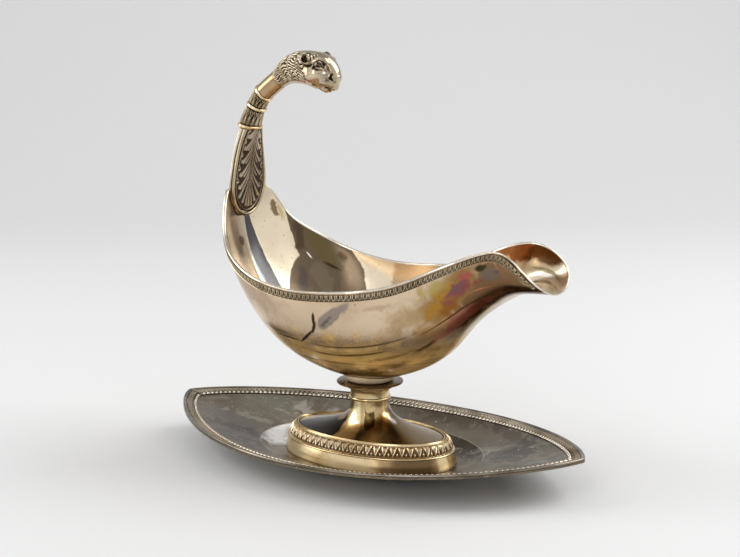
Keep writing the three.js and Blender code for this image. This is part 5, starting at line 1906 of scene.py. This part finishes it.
@dataclass(frozen=True)
class TrayMetal:
    """The tray's grey-brown silver, scuffed by use, with a well made lighter by a painted reflection on its left."""

    name: str = "tray_metal"
    well: Pair = (0.0723, 0.0516)
    ground: Colour = (104, 96, 84)
    warm: Colour = (128, 114, 94)
    rubbed: Colour = (186, 176, 158)
    spark: Colour = (232, 226, 212)
    # Tarnish with painted reflections in the lighter patches and painted shade among the darker ones.
    plain_stains_and_light: tuple[StainAndLight, ...] = stains_and_lights(
        ((-0.095, 0.03), (0.045, 0.03), (144, 138, 122), 0.9), ((-0.05, 0.058), (0.05, 0.014, 6), (146, 138, 124), 0.9),
        ((-0.128, 0.012), (0.02, 0.03), (112, 98, 76), 0.8),
        ((-0.068, 0.033), (0.022, 0.01, 10), (196, 186, 170), 0.6, 0.7),
        ((-0.088, 0.004), (0.026, 0.005, 16), (164, 154, 138), 0.8, 0.9, 0.7),
        ((-0.08, -0.022), (0.03, 0.01, 16), (72, 64, 54), 0.7, 0.5),
        ((-0.07, -0.04), (0.04, 0.012, 26), (82, 74, 66), 0.7, 0.5, 0.8),
        ((0.088, 0.02), (0.014, 0.018, 10), (72, 62, 48), 0.3, 0.7),
        ((0.09, 0.047), (0.008, 0.02, -20), (76, 66, 52), 0.4, 0.7),
        ((0.108, 0.03), (0.016, 0.02), (92, 84, 64), 0.6, 0.6, 0.7),
        ((0.066, 0.052), (0.03, 0.006, -32), (84, 72, 56), 0.5, 0.8, 0.7),
        ((0.02, 0.066), (0.05, 0.012, -6), (92, 78, 62), 0.8, 0.5, 0.7),
        ((0.11, -0.004), (0.03, 0.02), (84, 74, 64), 0.9, 0.6, 0.8),
        ((-0.02, -0.06), (0.06, 0.01), (110, 94, 74), 0.8, 0.5, 0.7),
        ((0.06, -0.045), (0.09, 0.03), (80, 70, 60), 0.9, 0.4, 0.7),
    )
    # A painted reflection in the white patch on the left, painted shade in the dark patches on the right, and tarnish.
    well_stains_and_light: tuple[StainAndLight, ...] = stains_and_lights(
        ((-0.066, 0.006), (0.026, 0.038, -12), (255, 252, 248), 0.7, 0.3, 1),
        ((-0.048, -0.028), (0.016, 0.014, -40), (150, 138, 116), 0.8, 0.5),
        ((0.052, 0.032), (0.03, 0.013, -36), (70, 58, 42), 0.4, 0.4, 0.95),
        ((0.058, 0.03), (0.01, 0.006, -36), (48, 38, 26), 0.6, 0.4, 0.8),
        ((0, 0.046), (0.05, 0.008), (96, 86, 70), 0.6, 0.4),
        ((0.066, 0.006), (0.008, 0.016, 10), (150, 138, 118), 0.6, 0.5),
    )

    def material(self) -> Material:
        """Clouds of two greys with marks outside and inside the well's oval, partly tarnish and partly painted
        reflections and shade, a painted highlight along the well's edge, then scuffs and fine specks.
        """
        g = Graph(bpy.data.materials.new(self.name))
        spot, rough = Spot.PLAN.socket(g), ragged_noise(g)
        ground = g.blend(g.span(g.noise(16, 5, 0.8), 0.36, 0.66), self.ground, self.warm)
        plain = laid(self.plain_stains_and_light, g, spot, rough, ground)
        well = laid(self.well_stains_and_light, g, spot, rough, ground)
        away = g.oval_distance(spot, (0, 0), self.well)
        colour = g.blend(g.span(away, 1.004, 0.998), plain, well)
        # Painted highlight: a thin light line along the well's edge, in the rubbed colour.
        edge = g.math("SUBTRACT", 1, g.math("MULTIPLY", g.math("ABSOLUTE", g.math("SUBTRACT", away, 1)), 90))
        colour = g.blend(g.math("MULTIPLY", edge, 0.7, clamp=True), colour, self.rubbed)
        rubbed = g.span(g.noise(34, 8, 1.6, shift=0.5), 0.55, 0.7)
        colour = g.blend(g.math("MULTIPLY", rubbed, 0.4), colour, self.rubbed)
        lengthwise = g.span(g.noise(260, 3, 0.4, stretch=(0.09, 1, 1)), 0.64, 0.7)
        crosswise = g.span(g.noise(240, 3, 0.4, stretch=(1, 0.12, 1), shift=0.7), 0.66, 0.72)
        scuffs = g.math("MAXIMUM", lengthwise, crosswise)
        colour = g.blend(g.math("MULTIPLY", scuffs, 0.35), colour, self.rubbed)
        specks = g.math("MULTIPLY", g.span(g.noise(620, 2, shift=0.35), 0.66, 0.72), g.span(rough, -0.2, 0.5))
        colour = g.blend(g.math("MULTIPLY", specks, 0.8), colour, self.spark)
        rough = g.math("MULTIPLY_ADD", g.noise(45, 6, 0.6, shift=0.2), 0.26, 0.18)
        surface = g.math("MULTIPLY_ADD", scuffs, -0.05, g.noise(11, 2))
        g.metal(colour, rough, g.bump(surface, 0.0012, 0.5))
        return g.owner


class Finishes:
    """All materials of the object."""

    def __init__(self) -> None:
        """Builds each finish once."""

        def carved(name: str, *looks: object, **more: object) -> Material:
            """The material of a carved metal."""
            return CarvedMetal(name, *looks, **more).material()

        self.bowl_silver = BowlSilver().material()
        self.tray = TrayMetal().material()
        umber = (58, 42, 22)
        self.gilt = carved("gilt", (206, 180, 130), (226, 206, 166), umber, 0.5, clouds=26)
        # Painted reflections: upright light and dark bands round the plinth, placed by angle.
        wall = stains_and_lights(
            ((-2.4, 1.8), (0.5, 9), (240, 218, 172), 0.7, 0.1), ((-1.4, 1.8), (0.6, 9), (250, 226, 180), 0.6, 0.1),
            ((-0.55, 1.8), (0.42, 9), (112, 88, 56), 0.4, 0.1, 0.95),
            ((-0.12, 1.8), (0.1, 9), (250, 226, 178), 0.6, 0.1, 0.95), ((0.5, 1.8), (0.4, 9), (150, 120, 78), 0.6),
            ((1.6, 1.8), (0.4, 9), (220, 196, 150), 0.7),
        )
        self.plinth = carved("plinth_gilt", (190, 164, 116), (170, 142, 96), umber, bare=0.6, marks=wall)
        # Painted reflections and highlight: light and dark bands round the pedestal by angle, and a white spot of
        # highlight.
        trumpet = stains_and_lights(
            ((-2.5, 1.3), (0.62, 0.86), (42, 33, 25), 0.1, 0.05, 1),
            ((-2.55, 0.55), (0.3, 0.24), (164, 140, 108), 0.4, 0.1),
            ((-1.62, 0.86), (0.3, 0.5), (250, 226, 184), 0.2, 0.05, 0.95),
            ((-1.75, 0.5), (0.22, 0.22), (250, 234, 188), 0.2, 0.05, 0.95),
            ((-1.02, 0.52), (0.24, 0.26), (76, 60, 32), 0.12, 0.05, 0.96),
            ((-1, 0.38), (0.5, 0.115), (214, 190, 140), 0.12, 0.05, 0.96),
            ((-0.95, 0.98), (0.32, 0.26, 14), (206, 172, 126), 0.4, 0.2),
            ((-0.46, 0.72), (0.11, 0.42, 44), (250, 214, 140), 0.5, 0.1, 0.95),
            ((0.1, 1.25), (0.62, 0.9, 10), (136, 118, 92), 0.2, 0.1),
            ((0.3, 0.55), (0.26, 0.2), (112, 98, 84), 0.4, 0.1),
            ((-0.13, 0.7), (0.16, 0.15), (255, 246, 238), 0.8, 0.1, 1),
            ((1.5, 0.9), (0.3, 0.8), (226, 196, 146), 0.4, 0.1), ((2.4, 0.9), (0.3, 0.8), (96, 76, 48), 0.4, 0.1),
        )
        self.dome = carved("dome_gilt", (196, 172, 128), (170, 144, 104), umber, marks=trumpet)
        # Painted reflection: the neck ring is pale and mostly not metal, to stand for the bright light that it
        # reflects.
        self.gilt_with_painted_bright_reflection = carved(
            "gilt_with_painted_bright_reflection", (250, 234, 200), (232, 208, 166), (110, 84, 44), roughness=0.3, clouds=60, bare=0.3
        )
        self.collar = carved("collar_gilt", (246, 226, 194), (222, 186, 132), umber, clouds=90)
        # Painted reflection: the drip disc is dark, for the bowl's dark underside that it reflects.
        self.gilt_with_painted_dark_reflection = carved("gilt_with_painted_dark_reflection", (112, 80, 28), (84, 60, 22), umber, clouds=60)
        self.leafed_gilt = carved("leafed_gilt", (238, 220, 190), (196, 172, 136), (92, 72, 46), 0.95)
        self.rim = carved("rim_silver", (236, 226, 210), (206, 192, 168), (96, 82, 60), roughness=0.14)
        self.frieze = carved("frieze", (206, 188, 158), (166, 146, 116), (34, 25, 16), 1)
        self.beads = carved("beads", (222, 214, 202), (190, 180, 164), (46, 40, 32), depth=0.6)
        self.tray_frieze = carved("tray_frieze", (206, 194, 172), (158, 146, 126), (34, 28, 22), 1)
        self.worn_edge = carved("worn_edge", (150, 140, 126), (98, 90, 80), (44, 36, 28), roughness=0.26)
        self.strap = carved("strap_silver", (226, 216, 200), (184, 168, 144), (88, 74, 54))
        self.palm = carved("palm_relief", (188, 172, 150), (150, 134, 112), (54, 43, 33), 0.95)
        self.border = carved("palm_border", (166, 148, 120), (192, 176, 144), (64, 48, 30))
        self.leafed = carved("leafed_silver", (216, 202, 176), (180, 160, 130), (30, 22, 14), 1)
        self.neck = carved("neck_gilt", (188, 162, 132), (174, 140, 92), (110, 80, 40), clouds=60)
        # Painted highlights and shade on the face: pale and orange highlights, darker patches of shade and a white
        # glint.
        face = stains_and_lights(
            ((-0.0338, 0.2306), (0.0045, 0.003), (232, 212, 172), 0.9),
            ((-0.043, 0.2258), (0.012, 0.0022, 4), (196, 150, 128), 0.8),
            ((-0.0295, 0.2206), (0.0044, 0.0022, -12), (206, 160, 116), 0.9),
            ((-0.0262, 0.2335), (0.0026, 0.0056, -14), (104, 90, 74), 0.9),
            ((-0.0292, 0.2362), (0.0032, 0.0024), (84, 70, 54), 0.7, 0.1, 0.7),
            ((-0.0262, 0.2272), (0.0024, 0.0022), (120, 104, 96), 0.9),
            ((-0.0275, 0.2312), (0.0014, 0.001), (255, 250, 240), 0.9),
        )
        self.head = carved("cast_silver", (204, 190, 166), (170, 152, 126), (34, 27, 20), 1, spot=Spot.SIDE, marks=face)


# Studio


@dataclass
class Studio:
    """Camera, pale floor, pale surroundings and soft lamps. Distances are in metres."""

    camera_place: Triple = (0.46185, -0.71419, 0.26454)
    camera_target: Triple = (0, 0, 0.11172)
    lens: float = 71.4
    sensor: float = 36
    floor_size: float = 12
    bend_start: float = 1
    bend_radius: float = 0.9
    backdrop: float = 0.86
    world_light: float = 0.55

    def camera(self) -> None:
        """Sets the camera where the photograph was taken from, level and looking at its target."""
        data = bpy.data.cameras.new("camera")
        data.lens, data.sensor_width, data.sensor_fit = self.lens, self.sensor, "HORIZONTAL"
        data.clip_start, data.clip_end = 0.01, 50
        view = bpy.data.objects.new("camera", data)
        bpy.context.scene.collection.objects.link(view)
        away = Vector(self.camera_place) - Vector(self.camera_target)
        view.location = self.camera_place
        view.rotation_euler = away.to_track_quat("Z", "Y").to_euler()
        bpy.context.scene.camera = view

    def floor(self) -> None:
        """A plain pale sheet: level round the object, then a quarter circle that ends upright behind it."""
        turn = np.linspace(0, np.pi / 2, 24)
        bend = np.stack([self.bend_start + self.bend_radius * np.sin(turn), self.bend_radius * (1 - np.cos(turn))], -1)
        profile = np.array([(-self.floor_size, 0), *bend, (bend[-1, 0], self.floor_size)])
        back = unit(np.array([*self.camera_target[:2], 0]) - np.array([*self.camera_place[:2], 0]))
        side = np.array([-back[1], back[0], 0])
        across = np.array([-1, 1])[None, :, None] * self.floor_size
        points = profile[:, None, :1] * back + across * side + profile[:, None, 1:] * [0, 0, 1]
        mesh = bpy.data.meshes.new("floor")
        row = 2 * np.arange(len(profile) - 1)[:, None]
        mesh.from_pydata(points.reshape(-1, 3), [], (row + [0, 1, 3, 2]).tolist())
        mesh.shade_smooth()
        g = Graph(bpy.data.materials.new("floor"))
        shader = g.node("BsdfPrincipled", Base_Color=(0.84, 0.84, 0.84, 1), Roughness=0.8)
        g.feed(g.node("OutputMaterial").inputs["Surface"], shader.outputs[0])
        mesh.materials.append(g.owner)
        plane = bpy.data.objects.new("floor", mesh)
        bpy.context.scene.collection.objects.link(plane)

    def world(self) -> None:
        """Even light from all round, and a pale grey for what the camera and the metal see of it."""
        world = bpy.data.worlds.new("studio")
        bpy.context.scene.world = world
        g = Graph(world)
        rays = g.node("LightPath").outputs
        seen = g.math("MAXIMUM", rays["Is Camera Ray"], rays["Is Glossy Ray"])
        seen = g.math("MAXIMUM", seen, rays["Is Transmission Ray"])
        light = g.node("Background", Color=(1, 1, 1, 1), Strength=self.world_light)
        backdrop = g.node("Background", Color=(self.backdrop, self.backdrop, self.backdrop, 1))
        mix = g.node("MixShader", Fac=seen)
        g.feed(mix.inputs[1], light.outputs[0])
        g.feed(mix.inputs[2], backdrop.outputs[0])
        g.feed(g.node("OutputWorld").inputs["Surface"], mix.outputs[0])

    def lamp(self, name: str, place: Sequence[float], size: Pair, power: float) -> None:
        """A soft box of a width and a height that faces the middle of the object.

        Args:
            name: of the lamp.
            place: in metres.
            size: width and height.
            power: in watts.
        """
        target = (0, 0, 0.1)
        data = bpy.data.lights.new(name, "AREA")
        data.shape = "RECTANGLE"
        data.size, data.size_y, data.energy = *size, power
        lamp = bpy.data.objects.new(name, data)
        lamp.location = place
        lamp.rotation_euler = (Vector(place) - Vector(target)).to_track_quat("Z", "Y").to_euler()
        bpy.context.scene.collection.objects.link(lamp)

    def build(self) -> None:
        """Sets up camera, floor, world and lamps."""
        self.camera()
        self.floor()
        self.world()
        self.lamp("key", (0.8, 0.7, 1.1), (1.1, 1.1), 12)
        self.lamp("left", (-1.2, -0.6, 0.7), (0.7, 1.3), 8)
        self.lamp("front", (0.2, -1.5, 0.9), (0.5, 1.2), 5)
        bpy.context.scene.view_settings.view_transform = "Standard"


def main() -> None:
    """Builds the studio and then each part of the object, from the tray up."""
    logging.basicConfig(level=logging.INFO, format="%(message)s")
    Studio().build()
    finishes = Finishes()
    foot, bowl = Foot(), Bowl()
    Tray().build(foot, finishes)
    foot.build(finishes)
    Stem().build(bowl, finishes)
    bowl.build(finishes)
    Handle().build(finishes)
    BeastHead().build(finishes)


if __name__ == "__main__":
    main()
